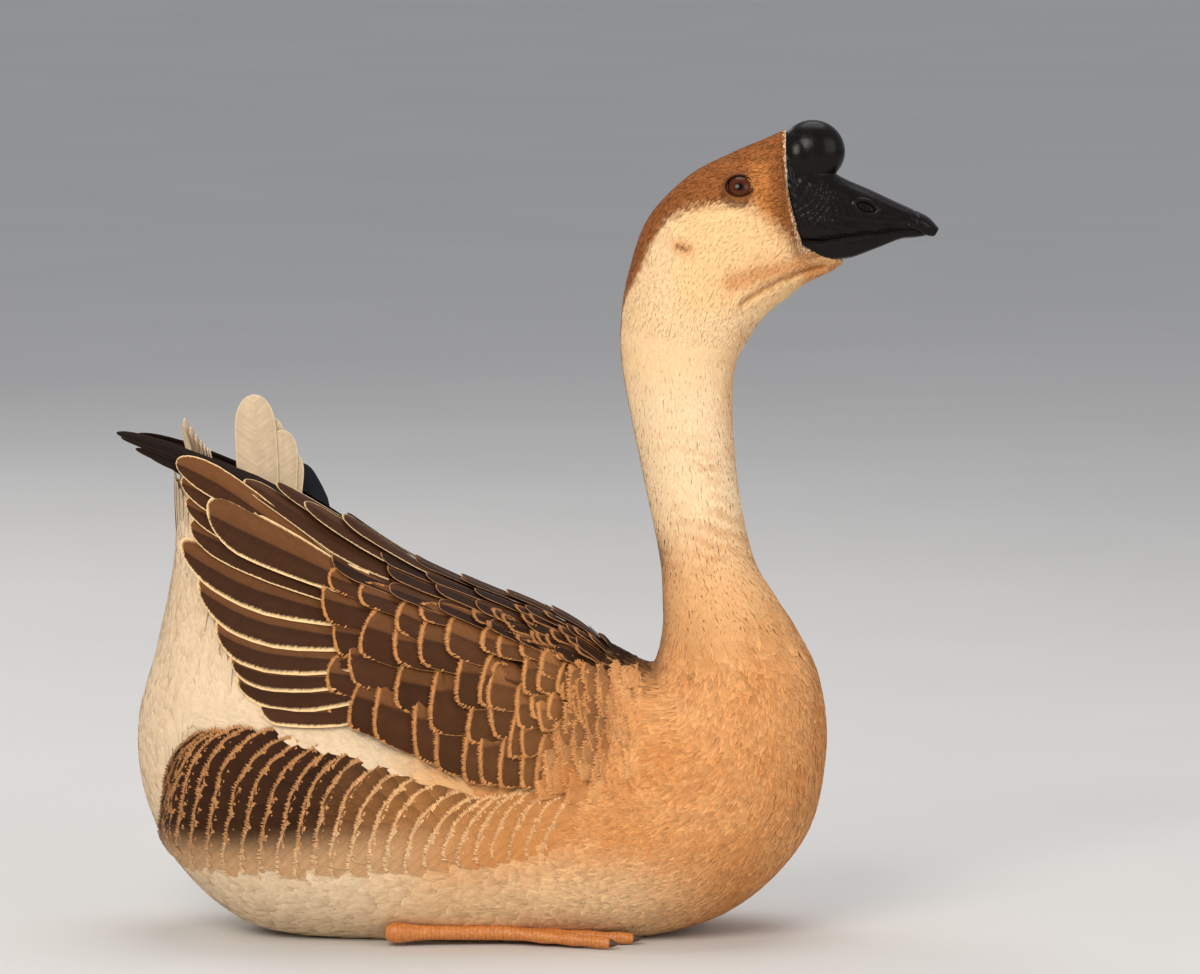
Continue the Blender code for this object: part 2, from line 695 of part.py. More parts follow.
def foot(name, side, grow=0.0):
    """A folded shank and a webbed foot on the floor beside the belly."""
    heel = Vector((HEEL[0], HEEL[1] * side, HEEL[2]))
    root = Vector((TOE_ROOT[0], TOE_ROOT[1] * side, TOE_ROOT[2]))
    middle = heel.lerp(root, 0.5)
    behind = heel + (heel - root).normalized() * (HEEL_LENGTH + grow)
    below = root + (root - heel).normalized() * TARSUS_OVERLAP
    radius = TARSUS_RADIUS
    made = tube(name, [behind, heel, middle, root, below],
                [r + grow for r in (radius * 0.6, radius + HEEL_GROWTH, radius * 0.85, radius, radius * 0.7)])
    tips = [Vector((x, y * side, z)) for x, y, z in TOE_TIPS]
    pieces = []
    for tip in tips:
        knuckle = root.lerp(tip, 0.5)
        claw = tip + (tip - root).normalized() * (CLAW_LENGTH + grow)
        radii = [r + grow for r in (TOE_RADIUS, TOE_RADIUS, TOE_RADIUS * 0.8, CLAW_RADIUS)]
        pieces.append(tube("toe", [root, knuckle, tip, claw], radii))
    hind = Vector((HIND_TOE[0], HIND_TOE[1] * side, HIND_TOE[2]))
    pieces.append(tube("toe", [root - Vector((HIND_TOE_BACK, 0, 0)), hind],
                       [TOE_RADIUS * 0.7 + grow, HIND_CLAW_RADIUS + grow]))
    dents = [(first + second) / 2 - Vector((WEB_DENT, 0, 0)) for first, second in zip(tips, tips[1:])]
    outline = [root, tips[0], dents[0], tips[1], dents[1], tips[2]]
    low = [Vector((p.x, p.y, WEB_LOW - grow)) for p in outline]
    high = [Vector((p.x, p.y, WEB_HIGH + grow)) for p in outline]
    pieces.append(loft("web", [low, high]))
    fuse(made, pieces)
    cut(made, below_floor())
    return made


def paint(obj, name, colour, roughness):
    material = bpy.data.materials.get(name) or bpy.data.materials.new(name)
    material.use_nodes = True
    shader = material.node_tree.nodes["Principled BSDF"]
    shader.inputs["Base Color"].default_value = (*colour, 1.0)
    shader.inputs["Roughness"].default_value = roughness
    obj.data.materials.clear()
    obj.data.materials.append(material)


def main():
    for old in list(bpy.data.objects):
        bpy.data.objects.remove(old)
    head, eyes = head_and_eyes()
    bill_upper, bill_lower = bill()
    neck_upper = body_length("neck_upper", NECK_MIDDLE, HEAD_CUT, start_gap=GAP / 2, end_gap=GAP / 2)
    neck_lower = body_length("neck_lower", NECK_CUT, NECK_MIDDLE, start_gap=GAP / 2, end_gap=GAP / 2)
    breast = body_length("breast", BREAST_CUT, NECK_CUT, start_gap=GAP / 2, end_gap=GAP / 2)
    torso = body_length("torso", TAIL_CUT, BREAST_CUT, start_gap=GAP / 2, end_gap=GAP / 2)
    feet = []
    for side, word in ((NEAR, "right"), (FAR, "left")):
        feet.append(foot("foot_" + word, side))
        for flesh in (torso, breast):
            cut(flesh, foot("pocket", side, grow=GAP))
    cut(torso, below_floor())
    cut(breast, below_floor())
    rump = tail()
    wings = [wing("wing_right", NEAR), wing("wing_left", FAR)]
    for made in (head, neck_upper):
        paint(made, "head_down", (0.72, 0.56, 0.38), 0.9)
    for made in (neck_lower, breast):
        paint(made, "breast_down", (0.62, 0.42, 0.25), 0.9)
    paint(torso, "belly_down", (0.70, 0.60, 0.48), 0.9)
    paint(rump, "tail_feather", (0.80, 0.76, 0.70), 0.8)
    for made in wings:
        paint(made, "wing_feather", (0.12, 0.075, 0.05), 0.7)
    for made in (bill_upper, bill_lower):
        paint(made, "bill_horn", (0.012, 0.011, 0.012), 0.35)
    for made in eyes:
        paint(made, "eye_brown", (0.10, 0.04, 0.015), 0.1)
    for made in feet:
        paint(made, "foot_skin", (0.72, 0.27, 0.05), 0.6)
    goose = bpy.data.collections.new("chinese_goose")
    bpy.context.scene.collection.children.link(goose)
    for made in list(bpy.context.scene.collection.objects):
        bpy.context.scene.collection.objects.unlink(made)
        goose.objects.link(made)
    for made in goose.objects:
        print(made.name, len(made.data.polygons))


main()
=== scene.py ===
"""A brown Chinese goose at rest: one feathered skin, finer vanes on wings, flanks and tail, a glossy bill
with its knob, eyes with lids and webbed feet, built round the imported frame. Sizes are millimetres of the
bird's own frame, as in the part's source, and x is moved by CENTRE_X to stand on the frame."""

import math
from functools import partial

import bmesh
import bpy
import numpy as np
from mathutils import Matrix, Vector
from mathutils.bvhtree import BVHTree

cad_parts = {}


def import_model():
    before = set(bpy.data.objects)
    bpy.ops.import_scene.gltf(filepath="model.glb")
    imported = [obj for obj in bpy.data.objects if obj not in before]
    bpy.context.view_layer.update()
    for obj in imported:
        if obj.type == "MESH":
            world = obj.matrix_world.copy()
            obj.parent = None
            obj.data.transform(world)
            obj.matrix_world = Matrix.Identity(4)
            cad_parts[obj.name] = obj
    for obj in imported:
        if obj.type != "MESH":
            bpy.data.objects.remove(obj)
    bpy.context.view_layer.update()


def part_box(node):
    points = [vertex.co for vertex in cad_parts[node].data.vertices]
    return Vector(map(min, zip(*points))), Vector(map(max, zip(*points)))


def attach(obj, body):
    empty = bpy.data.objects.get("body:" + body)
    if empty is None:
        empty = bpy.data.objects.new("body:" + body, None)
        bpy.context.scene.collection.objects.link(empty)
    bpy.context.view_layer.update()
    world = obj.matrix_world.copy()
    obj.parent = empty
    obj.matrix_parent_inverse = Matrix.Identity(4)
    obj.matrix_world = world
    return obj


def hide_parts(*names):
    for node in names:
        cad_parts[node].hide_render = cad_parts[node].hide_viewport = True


MM = 0.001
CENTRE_X = 30.6
NEAR = -1
FAR = 1
SIDES = ((NEAR, "right"), (FAR, "left"))

# The body's stations: top x, z, bottom x, z, half width, widest height, squareness above and below.
BODY = np.array((
    (-172, 292, -185, 292, 8, 0.50, 2.0, 2.0),
    (-160, 274, -188, 275, 19, 0.50, 2.0, 2.0),
    (-146, 250, -189, 250, 31, 0.50, 2.0, 2.1),
    (-131, 236, -192, 222, 43, 0.50, 2.0, 2.2),
    (-115, 231, -201, 180, 58, 0.50, 2.0, 2.2),
    (-95, 229, -213, 132, 72, 0.49, 2.0, 2.2),
    (-74, 226, -208, 84, 82, 0.48, 2.0, 2.2),
    (-50, 221, -184, 38, 88, 0.47, 1.9, 2.2),
    (-22, 213, -138, 4, 90, 0.46, 1.8, 2.4),
    (10, 205, -64, -5, 91, 0.45, 1.8, 2.5),
    (41, 197, 16, -5, 91, 0.45, 1.7, 2.5),
    (68, 187, 90, -4, 91, 0.46, 1.7, 2.5),
    (88, 177, 156, 14, 91, 0.49, 1.8, 2.3),
    (101, 169, 202, 58, 87, 0.50, 1.9, 2.2),
    (107, 167, 216, 112, 78, 0.50, 2.0, 2.1),
    (111, 174, 212, 158, 65, 0.50, 2.0, 2.0),
    (114, 190, 198, 189, 52, 0.50, 2.0, 2.0),
    (114, 208, 184, 211, 42, 0.50, 2.0, 2.0),
    (112, 236, 170, 237, 34, 0.50, 2.0, 2.0),
    (101, 290, 160, 289, 29, 0.50, 2.0, 2.0),
    (89, 352, 158, 346, 30, 0.50, 2.0, 2.0),
    (88, 384, 166, 369, 32, 0.50, 2.0, 2.0),
    (93, 414, 179, 387, 33, 0.50, 2.0, 2.0),
    (105, 447, 193, 398, 31, 0.53, 2.0, 2.0),
    (130, 473, 202, 406, 29, 0.54, 2.1, 2.0),
    (156, 487, 205, 412, 26, 0.54, 2.1, 2.0),
    (177, 496, 205, 417, 22, 0.52, 2.1, 2.0),
    (190, 502, 202, 421, 17, 0.50, 2.2, 2.2),
))
LAST = len(BODY) - 1
HEAD_START = 20.6
FULL_TURN = 2 * math.pi

# The wing's outer surface: x, upper edge y, z, groove y, z, lower edge y, z, and both bulges.
WING = np.array((
    (98, 0.4, 168, 40, 150, 68, 108, 3, 5),
    (66, 0.4, 191, 47, 170, 88, 103, 5, 10),
    (36, 0.4, 205, 50, 182, 92, 101, 6, 13),
    (-2, 0.4, 217, 51, 197, 94, 104, 6, 14),
    (-34, 1.0, 230, 51, 209, 94, 116, 5, 14),
    (-60, 3.0, 245, 51, 219, 92, 130, 4, 13),
    (-84, 8.0, 260, 51, 229, 88, 140, 4, 11),
    (-112, 18, 275, 53, 248, 83, 148, 3, 9),
    (-134, 28, 288, 54, 264, 77, 155, 2, 6),
    (-160, 40, 300, 54, 281, 68, 172, 1, 5),
    (-190, 46, 312, 55, 296, 61, 205, 0, 3),
    (-226, 45, 322, 52, 308, 57, 250, 0, 1),
))
# Behind this x the far wing lies lower and shorter than the near one.
FAR_DROP_START = -40.0
FAR_WING_DROP = 0.055
FAR_WING_SHORT = 8.0

EYE_X = 161.5
EYE_Z = 466.0
EYE_RADIUS = 9.2


def tone(red, green, blue):
    """A colour of 0 to 255 steps as the renderer's linear one."""
    steps = np.array((red, green, blue)) / 255
    return np.where(steps <= 0.04045, steps / 12.92, ((steps + 0.055) / 1.055) ** 2.4)


CREAM = tone(246, 210, 162)
NECK_PALE = tone(250, 221, 180)
CHEEK = tone(248, 205, 150)
CAP_BROWN = tone(156, 95, 50)
CAP_DARK = tone(94, 56, 28)
LORE = tone(208, 134, 70)
RUST = tone(202, 126, 64)
BREAST = tone(208, 142, 83)
BREAST_PALE = tone(236, 184, 128)
BELLY = tone(232, 196, 150)
WHITE = tone(232, 207, 173)
DOWN_WHITE = tone(226, 205, 176)
BACK_DARK = tone(52, 32, 18)
FLANK_DARK = tone(50, 28, 14)
FLANK_FRINGE = tone(192, 136, 86)
FLANK_FOOT = tone(212, 168, 122)
SECONDARY_DARK = tone(66, 38, 19)
SECONDARY_LIGHT = tone(112, 71, 40)
SECONDARY_RIM = tone(244, 206, 152)
COVERT_DARK = tone(70, 40, 20)
COVERT_LIGHT = tone(114, 72, 40)
COVERT_RIM = tone(196, 135, 80)
SCAPULAR_DARK = tone(46, 27, 15)
SCAPULAR_LIGHT = tone(76, 47, 27)
SCAPULAR_RIM = tone(172, 122, 80)
PRIMARY_DARK = tone(28, 16, 10)
PRIMARY_RIM = tone(58, 38, 25)
# Painted shade with a painted reflection of blue sky, for a feather of the far wing.
SHADE_AND_SKY_BLUE_BLACK = tone(30, 32, 40)


def smooth(low, high, value):
    """0 below low, 1 above high and a soft step between them."""
    f = np.clip((value - low) / (high - low), 0.0, 1.0)
    return f * f * (3 - 2 * f)


def blend(first, second, share):
    share = np.asarray(share)[..., None]
    return first * (1 - share) + second * share


def spline(table, t):
    """The values of every column of a table at the places t, as Catmull-Rom curves."""
    i = np.clip(np.floor(t).astype(int), 0, len(table) - 2)
    f = (t - i)[..., None]
    p0 = table[np.maximum(i - 1, 0)]
    p1 = table[i]
    p2 = table[i + 1]
    p3 = table[np.minimum(i + 2, len(table) - 1)]
    second = 2 * p0 - 5 * p1 + 4 * p2 - p3
    third = 3 * p1 - p0 - 3 * p2 + p3
    return 0.5 * (2 * p1 + (p2 - p0) * f + second * f ** 2 + third * f ** 3)


def unit(vectors):
    return vectors / np.maximum(np.linalg.norm(vectors, axis=-1, keepdims=True), 1e-9)


CHIN_REACH = 24.0
FACE_HOLLOW = 3.5


def body_points(t, a):
    """The body's surface at place t along it and angle a round it, from its back over its left side."""
    tx, tz, bx, bz, width, widest, top, low = np.moveaxis(spline(BODY, np.clip(t, 0, LAST)), -1, 0)
    c = np.cos(a)
    s = np.sin(a)
    power = 2 / np.where(c >= 0, top, low)
    height = widest + np.where(c >= 0, 1 - widest, widest) * np.sign(c) * np.abs(c) ** power
    side = width * np.sign(s) * np.abs(s) ** power
    chin = CHIN_REACH * smooth(LAST - 3.5, LAST, t) * smooth(0.16, 0.0, height)
    hollow = FACE_HOLLOW * smooth(LAST - 0.9, LAST, t) * np.sin(math.pi * np.clip(height, 0, 1))
    return np.stack([bx + (tx - bx) * height + chin - hollow, side, bz + (tz - bz) * height], -1)


def behind_bill(x, z):
    """How far points of the side view lie behind the face's edge against the bill."""
    return 190.5 + (502 - z) * 0.145 - FACE_HOLLOW * np.sin(math.pi * np.clip((z - 421) / 81, 0, 1)) - x


def body_frame(t, a):
    """The point, the way the coat lies, the way round and the way out, with the two first speeds."""
    step = 0.02
    point = body_points(t, a)
    lie = (body_points(t - step, a) - body_points(t + step, a)) / (2 * step)
    around = (body_points(t, a + step) - body_points(t, a - step)) / (2 * step)
    out = unit(np.cross(around, lie))
    return point, lie, around, out


def line_distance(x, z, line):
    """The least distance in the side view from points to a bent line."""
    best = np.full(np.shape(x), 1e9)
    for (ax, az), (bx, bz) in zip(line, line[1:]):
        f = np.clip(((x - ax) * (bx - ax) + (z - az) * (bz - az)) / ((bx - ax) ** 2 + (bz - az) ** 2), 0, 1)
        best = np.minimum(best, np.hypot(x - ax - f * (bx - ax), z - az - f * (bz - az)))
    return best


JAW_FOLD = ((214, 417), (190, 411), (172, 402), (163, 396))
EAR_SLIT = ((124, 433), (130, 431))
EYE_FOLD = ((150, 462), (156, 457.5), (164, 456.5), (171, 459.5))


def relief(points):
    """How far folds push the skin in or out: the jaw's fold, the ear and the rims round the eyes."""
    x = points[..., 0]
    z = points[..., 2]
    head = smooth(385, 395, z)
    jaw = line_distance(x, z, JAW_FOLD)
    push = -1.5 * np.exp(-((jaw / 1.7) ** 2)) + 0.7 * np.exp(-(((jaw - 4.5) / 2.5) ** 2))
    push -= 1.6 * np.exp(-((line_distance(x, z, EAR_SLIT) / 1.6) ** 2))
    push -= 0.5 * np.exp(-((line_distance(x, z, EYE_FOLD) / 0.9) ** 2))
    brow = np.hypot(x - EYE_X, (z - EYE_Z) * 1.1)
    push += 0.8 * np.exp(-(((brow - 10.5) / 2.5) ** 2))
    return push * head


CAP_EDGE_X = (94, 96, 102, 111, 119, 130, 146, 162, 171, 178, 185, 192, 197, 201)
CAP_EDGE_Z = (408, 416, 427, 442, 450, 455, 457.5, 459, 457, 450, 443, 436, 429, 422)


def mottle(points, size):
    """A smooth random-looking value from 0 to 1 that changes over about size millimetres."""
    x, y, z = np.moveaxis(points / size, -1, 0)
    value = np.sin(2.1 * x + 1.3 * np.sin(1.7 * z + 0.6 * y)) * np.sin(1.9 * y + 1.1 * np.sin(2.3 * x))
    value = value + np.sin(2.3 * z + 1.7 * np.sin(1.3 * x - 0.8 * y)) * np.cos(1.5 * x + 0.7 * z)
    return np.clip(0.5 + 0.33 * value, 0, 1)


FLANK_TOP_X = (-196, -193, -189, -175, -156, -136, -122, -102, -71, -57, -32, -10, 10, 30, 75)
FLANK_TOP_Z = (70, 98, 118, 133, 138, 139, 132, 127, 123, 117, 107, 96, 96, 101, 104)
FLANK_FRONT = 72


def flank_top(x):
    return np.interp(x, FLANK_TOP_X, FLANK_TOP_Z)


def flank_low(x):
    return 46 + 0.1 * np.maximum(0, x + 140)


def bar_shift(start, drop):
    """How far back a flank bar has run once it is drop millimetres below its upper end at start."""
    drop = np.maximum(drop, 0.0)
    return smooth(-198, -150, start) * 26 * (1 - np.exp(-drop / 14)) + 0.12 * drop


def bar_start(x, z):
    """Where the flank bar through a point of the side view meets the patch's upper edge."""
    start = x
    for _ in range(8):
        start = 0.5 * start + 0.5 * (x + bar_shift(start, flank_top(start) - z))
    return start


def in_flank(points, inset, front=0.0, low=0.0):
    """True inside the barred patch low on the side, by inset millimetres and more at its front and foot."""
    x, y, z = np.moveaxis(points, -1, 0)
    upright = (z < flank_top(x) - inset) & (z > flank_low(x) + inset + low)
    return upright & (x > -196 + inset) & (bar_start(x, z) < FLANK_FRONT - inset - front) & (np.abs(y) > 22)


BAND_CENTRE = (121, 183)
BAND_STEP = 9.0
SMUDGE = ((200, 420), (178, 416), (158, 411))


def markings(points, a):
    """The plumage's colour at points of the body, the same for the skin and the coat."""
    x, y, z = np.moveaxis(points, -1, 0)
    colour = np.broadcast_to(CREAM, points.shape).copy()

    def lay(tint, share):
        colour[:] = blend(colour, tint, share)

    # The neck and the breast, with faint bands over the breast's curve.
    lay(NECK_PALE, smooth(370, 330, z) * smooth(230, 290, z) * 0.7)
    front_body = smooth(-75, 5, x)
    lay(BREAST_PALE, smooth(275, 215, z) * front_body)
    blotch = 0.45 + 0.3 * mottle(points, 30) + 0.25 * mottle(points, 9)
    lay(BREAST, smooth(235, 165, z) * front_body * blotch)
    lay(RUST, smooth(205, 150, z) * front_body * 0.35 * smooth(0.6, 0.9, mottle(points, 11)))
    ring = np.hypot(x - BAND_CENTRE[0], z - BAND_CENTRE[1])
    bands = 0.5 + 0.5 * np.sin(ring / BAND_STEP * 2 * math.pi + 2.5 * mottle(points, 14))
    where = smooth(35, 55, ring) * smooth(150, 110, ring) * smooth(0.3, 0.7, mottle(points, 26))
    lay(RUST * 0.85, 0.4 * bands * where * smooth(25, 60, x))
    throat = smooth(-0.5, -1.0, np.cos(a)) * smooth(280, 330, z) * smooth(400, 370, z)
    lay(RUST, throat * 0.45 * mottle(points, 9))
    # The belly, the pale rear, and the body's side under the wing and the flank.
    lay(BELLY, smooth(75, 25, z) * smooth(170, 90, x))
    lay(WHITE, smooth(5, -75, x) * smooth(330, 300, z) * (z < 330))
    lay(DOWN_WHITE, smooth(-165, -190, x) * smooth(200, 240, z) * 0.5)
    shoulder = smooth(112, 78, x) * smooth(105, 135, z) * smooth(45, 62, np.abs(y)) * smooth(215, 190, z)
    lay(COVERT_LIGHT, 0.45 * shoulder * smooth(20, 60, x) * (0.4 + 0.6 * mottle(points, 7)))
    lay(FLANK_DARK, 1.0 * in_flank(points, 8.0, 120.0, 20.0))
    # The back between the wings, the rump, and the stripe down the nape.
    back = smooth(60, 95, z - 0.30 * (x + 100)) * smooth(120, 103, x) * smooth(262, 240, z)
    back = back * smooth(-150, -120, x) * smooth(-0.1, 0.35, np.cos(a)) * smooth(60, 48, np.abs(y))
    lay(BACK_DARK, back)
    rump = smooth(-92, -112, x) * smooth(-1.0, 0.4, np.cos(a)) * smooth(150, 170, z)
    lay(WHITE, rump)
    wide = 6.0 + 13.0 * smooth(384, 424, z)
    stripe = smooth(wide + 3, wide - 3, np.abs(y) + 3 * mottle(points, 4))
    stripe = stripe * smooth(0.2, 0.6, np.cos(a)) * smooth(205, 300, z)
    lay(CAP_BROWN, stripe * (0.45 + 0.5 * smooth(300, 405, z)))
    # The head: the cap and the lore, the cheek, the pale line at the bill, the folds, the ear and the eye.
    head = smooth(385, 400, z)
    edge = z - np.interp(x, CAP_EDGE_X, CAP_EDGE_Z)
    speckle = mottle(points, 1.3)
    front = smooth(163, 176, x)
    cap = smooth(-5.0 - 4 * front, 5.0 + 5 * front, edge + 6 * (speckle - 0.5))
    lore = front * smooth(490, 478, z) * smooth(6.0, 13.0, behind_bill(x, z))
    shade = blend(CAP_BROWN, LORE, lore * 0.75)
    shade = blend(shade, CAP_DARK, 0.6 * smooth(0.5, 0.8, speckle) + 0.08 * smooth(150, 105, x))
    lay(CHEEK, head * smooth(112, 135, x))
    smudge = line_distance(x, z, SMUDGE)
    lay(RUST, head * 0.8 * np.exp(-((smudge / 6.5) ** 2)) * (0.6 + 0.4 * speckle))
    under = smooth(198, 206, x) * smooth(424, 416, z)
    lay(RUST, head * 0.7 * under)
    border = smooth(7.0, 3.0, behind_bill(x, z)) * smooth(420, 428, z)
    lay(shade, head * np.maximum(cap, border * 0.7))
    rim = smooth(2.0, 1.0, behind_bill(x, z)) * smooth(424, 430, z)
    lay(NECK_PALE, head * rim * (0.1 + 0.75 * smooth(0.4, 0.6, mottle(points, 0.8))))
    fold = line_distance(x, z, JAW_FOLD)
    # Darker along the jaw's fold: painted shade in the crease.
    lay(RUST * 0.55, head * 0.8 * np.exp(-((fold / 1.3) ** 2)))
    ear = line_distance(x, z, EAR_SLIT)
    lay(RUST, head * 0.6 * np.exp(-((ear / 4.0) ** 2)))
    # Darkest in the ear's slit itself: painted shade in its groove.
    lay(CAP_DARK, head * 0.8 * np.exp(-((ear / 1.0) ** 2)))
    eye = np.hypot(x - EYE_X, z - EYE_Z)
    lay(CAP_DARK, head * smooth(11.0, 9.0, eye) * 0.75)
    return colour


def metres(points):
    return (np.asarray(points, float) - (CENTRE_X, 0, 0)) * MM


def grid_faces(rows, columns, closed=False):
    """Faces over a grid of points. A closed one joins its last column to its first."""
    i, k = np.meshgrid(np.arange(rows - 1), np.arange(columns if closed else columns - 1), indexing="ij")
    first = (i * columns + k).ravel()
    second = (i * columns + (k + 1) % columns).ravel()
    return np.stack([first, second, second + columns, first + columns], -1)


def new_object(name, points, faces):
    """A smooth mesh object from points in millimetres and faces with the same number of corners."""
    faces = np.asarray(faces)
    mesh = bpy.data.meshes.new(name)
    mesh.vertices.add(len(points))
    mesh.vertices.foreach_set("co", metres(points).astype(np.float32).ravel())
    mesh.loops.add(faces.size)
    mesh.loops.foreach_set("vertex_index", faces.astype(np.int32).ravel())
    mesh.polygons.add(len(faces))
    mesh.polygons.foreach_set("loop_start", np.arange(0, faces.size, faces.shape[1], dtype=np.int32))
    mesh.update(calc_edges=True)
    mesh.validate()
    mesh.polygons.foreach_set("use_smooth", np.full(len(faces), True))
    made = bpy.data.objects.new(name, mesh)
    bpy.context.scene.collection.objects.link(made)
    return made


def object_from(bm, name):
    """A smooth object from a finished bmesh, which is freed."""
    mesh = bpy.data.meshes.new(name)
    for face in bm.faces:
        face.smooth = True
    bm.to_mesh(mesh)
    bm.free()
    made = bpy.data.objects.new(name, mesh)
    bpy.context.scene.collection.objects.link(made)
    return made


def close_ends(obj, around, turned):
    """Closes a tube with one face at each end. If turned, all its faces are then turned outwards."""
    bm = bmesh.new()
    bm.from_mesh(obj.data)
    bm.verts.ensure_lookup_table()
    ring = range(around)
    last = len(bm.verts) - around
    bm.faces.new([bm.verts[k] for k in ring])
    bm.faces.new([bm.verts[last + k] for k in (ring if turned else reversed(ring))])
    if turned:
        bmesh.ops.recalc_face_normals(bm, faces=bm.faces)
    bm.to_mesh(obj.data)
    bm.free()


def store_colour(obj, name, colours):
    layer = obj.data.attributes.new(name, "FLOAT_COLOR", "POINT")
    full = np.ones((len(colours), 4), np.float32)
    full[:, :3] = colours
    layer.data.foreach_set("color", full.ravel())


def store_value(obj, name, values):
    layer = obj.data.attributes.new(name, "FLOAT", "POINT")
    layer.data.foreach_set("value", np.asarray(values, np.float32).ravel())


def store_map(obj, name, places):
    """A UV map from one place for each vertex."""
    corners = np.zeros(len(obj.data.loops), np.int32)
    obj.data.loops.foreach_get("vertex_index", corners)
    layer = obj.data.uv_layers.new(name=name)
    layer.data.foreach_set("uv", np.asarray(places, np.float32)[corners].ravel())


def own(obj, material, nodes=()):
    """Gives a piece its material and its place in the frame."""
    obj.data.materials.clear()
    obj.data.materials.append(material)
    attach(obj, "root")
    if nodes:
        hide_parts(*nodes)
    return obj


class Vanes:
    """Collects sheets of vanes, each a grid from root to tip, and joins them as one mesh."""

    def __init__(self):
        self.points = []
        self.tints = []
        self.rims = []
        self.edges = []
        self.barbs = []
        self.places = []
        self.faces = []
        self.count = 0

    def add(self, points, tint, rim, edge, barbs, places):
        """points is (vanes, stations, columns, 3). The others match it or spread over it."""
        vanes, stations, columns = points.shape[:3]
        size = stations * columns
        self.points.append(points.reshape(-1, 3))
        self.tints.append(np.broadcast_to(tint, points.shape).reshape(-1, 3))
        self.rims.append(np.broadcast_to(rim, points.shape).reshape(-1, 3))
        self.edges.append(np.broadcast_to(edge, points.shape[:3]).reshape(-1))
        self.barbs.append(np.broadcast_to(barbs, points.shape[:3] + (2,)).reshape(-1, 2))
        self.places.append(np.broadcast_to(places, points.shape[:3] + (2,)).reshape(-1, 2))
        starts = self.count + np.arange(vanes)[:, None, None] * size
        self.faces.append((grid_faces(stations, columns)[None] + starts).reshape(-1, 4))
        self.count += vanes * size

    def add_one(self, sheet, stations, columns, turned, points, tint, rim, edge, barbs):
        """Adds a single large vane with its cell of the bake's map, its columns turned round if asked."""
        if turned:
            points, tint, edge, barbs = (values[:, ::-1] for values in (points, tint, edge, barbs))
        places = sheet.places(stations, columns)
        self.add(points[None], tint[None], rim, edge[None], barbs[None], places[None])

    def add_plain(self, points, tint, places):
        """Adds sheets without a rim or barbs of their own."""
        self.add(points, tint, tint, NO_RIM, (0.0, 0.0), places)

    def build(self, name, material, slot, nodes=()):
        made = new_object(name, np.concatenate(self.points), np.concatenate(self.faces))
        store_colour(made, "tint", np.concatenate(self.tints))
        store_colour(made, "rim", np.concatenate(self.rims))
        store_value(made, "edge", np.concatenate(self.edges))
        store_map(made, "Barbs", np.concatenate(self.barbs))
        store_map(made, "OFBake", np.concatenate(self.places))
        return own(made, material, nodes)


# How far a surface without a rim counts as lying from one.
NO_RIM = 2.0
PATCH = 0.003


def patch_places(root_u, root_v, stations, columns):
    """A small patch of the bake's map at each tuft's root."""
    u = root_u[:, None, None] + PATCH * np.asarray(columns)[None, None, :] / 2
    v = root_v[:, None, None] + PATCH * (np.asarray(stations)[None, :, None] - 0.5)
    return np.stack(np.broadcast_arrays(u, v), -1)


def tuft_places(t, a, stations, columns):
    """The patches of tufts with their roots at t and a, on an unwrap of the body."""
    return patch_places(a / FULL_TURN, t / LAST * 0.98 + 0.01, stations, columns)


# How many places round the body are measured for each row of roots.
PROBES = 48


def scatter(t_low, t_high, along, across, chance, keep):
    """Roots in staggered rows over the body: along and across are their spacings."""
    found_t = []
    found_a = []
    t = t_low
    while t < t_high:
        probe = np.linspace(0, FULL_TURN, PROBES, endpoint=False)
        _, lie, around, _ = body_frame(np.full(PROBES, t), probe)
        speed = np.linalg.norm(lie, axis=-1)
        girth = np.linalg.norm(around, axis=-1).mean() * FULL_TURN
        count = max(6, int(girth / across))
        reach = np.cumsum(np.linalg.norm(around, axis=-1))
        share = (np.arange(count) + chance.uniform(0, 1)) / count
        a = np.interp(share * reach[-1], np.concatenate([[0], reach]), np.append(probe, FULL_TURN))
        a = a + chance.normal(0, 0.25, count) * across * 2 * math.pi / girth
        step = along / speed.max()
        kept = chance.uniform(0, 1, count) < np.interp(a % FULL_TURN, probe, speed) / speed.max() * 1.25
        found_t.append(np.full(count, t)[kept] + chance.uniform(-0.5, 0.5, kept.sum()) * step)
        found_a.append(a[kept] % FULL_TURN)
        t += step
    t = np.clip(np.concatenate(found_t), t_low, t_high)
    a = np.concatenate(found_a)
    good = keep(t, body_points(t, a))
    return t[good], a[good]


# How near to the floor the coat may hang, in millimetres.
FLOOR_GAP = 0.3


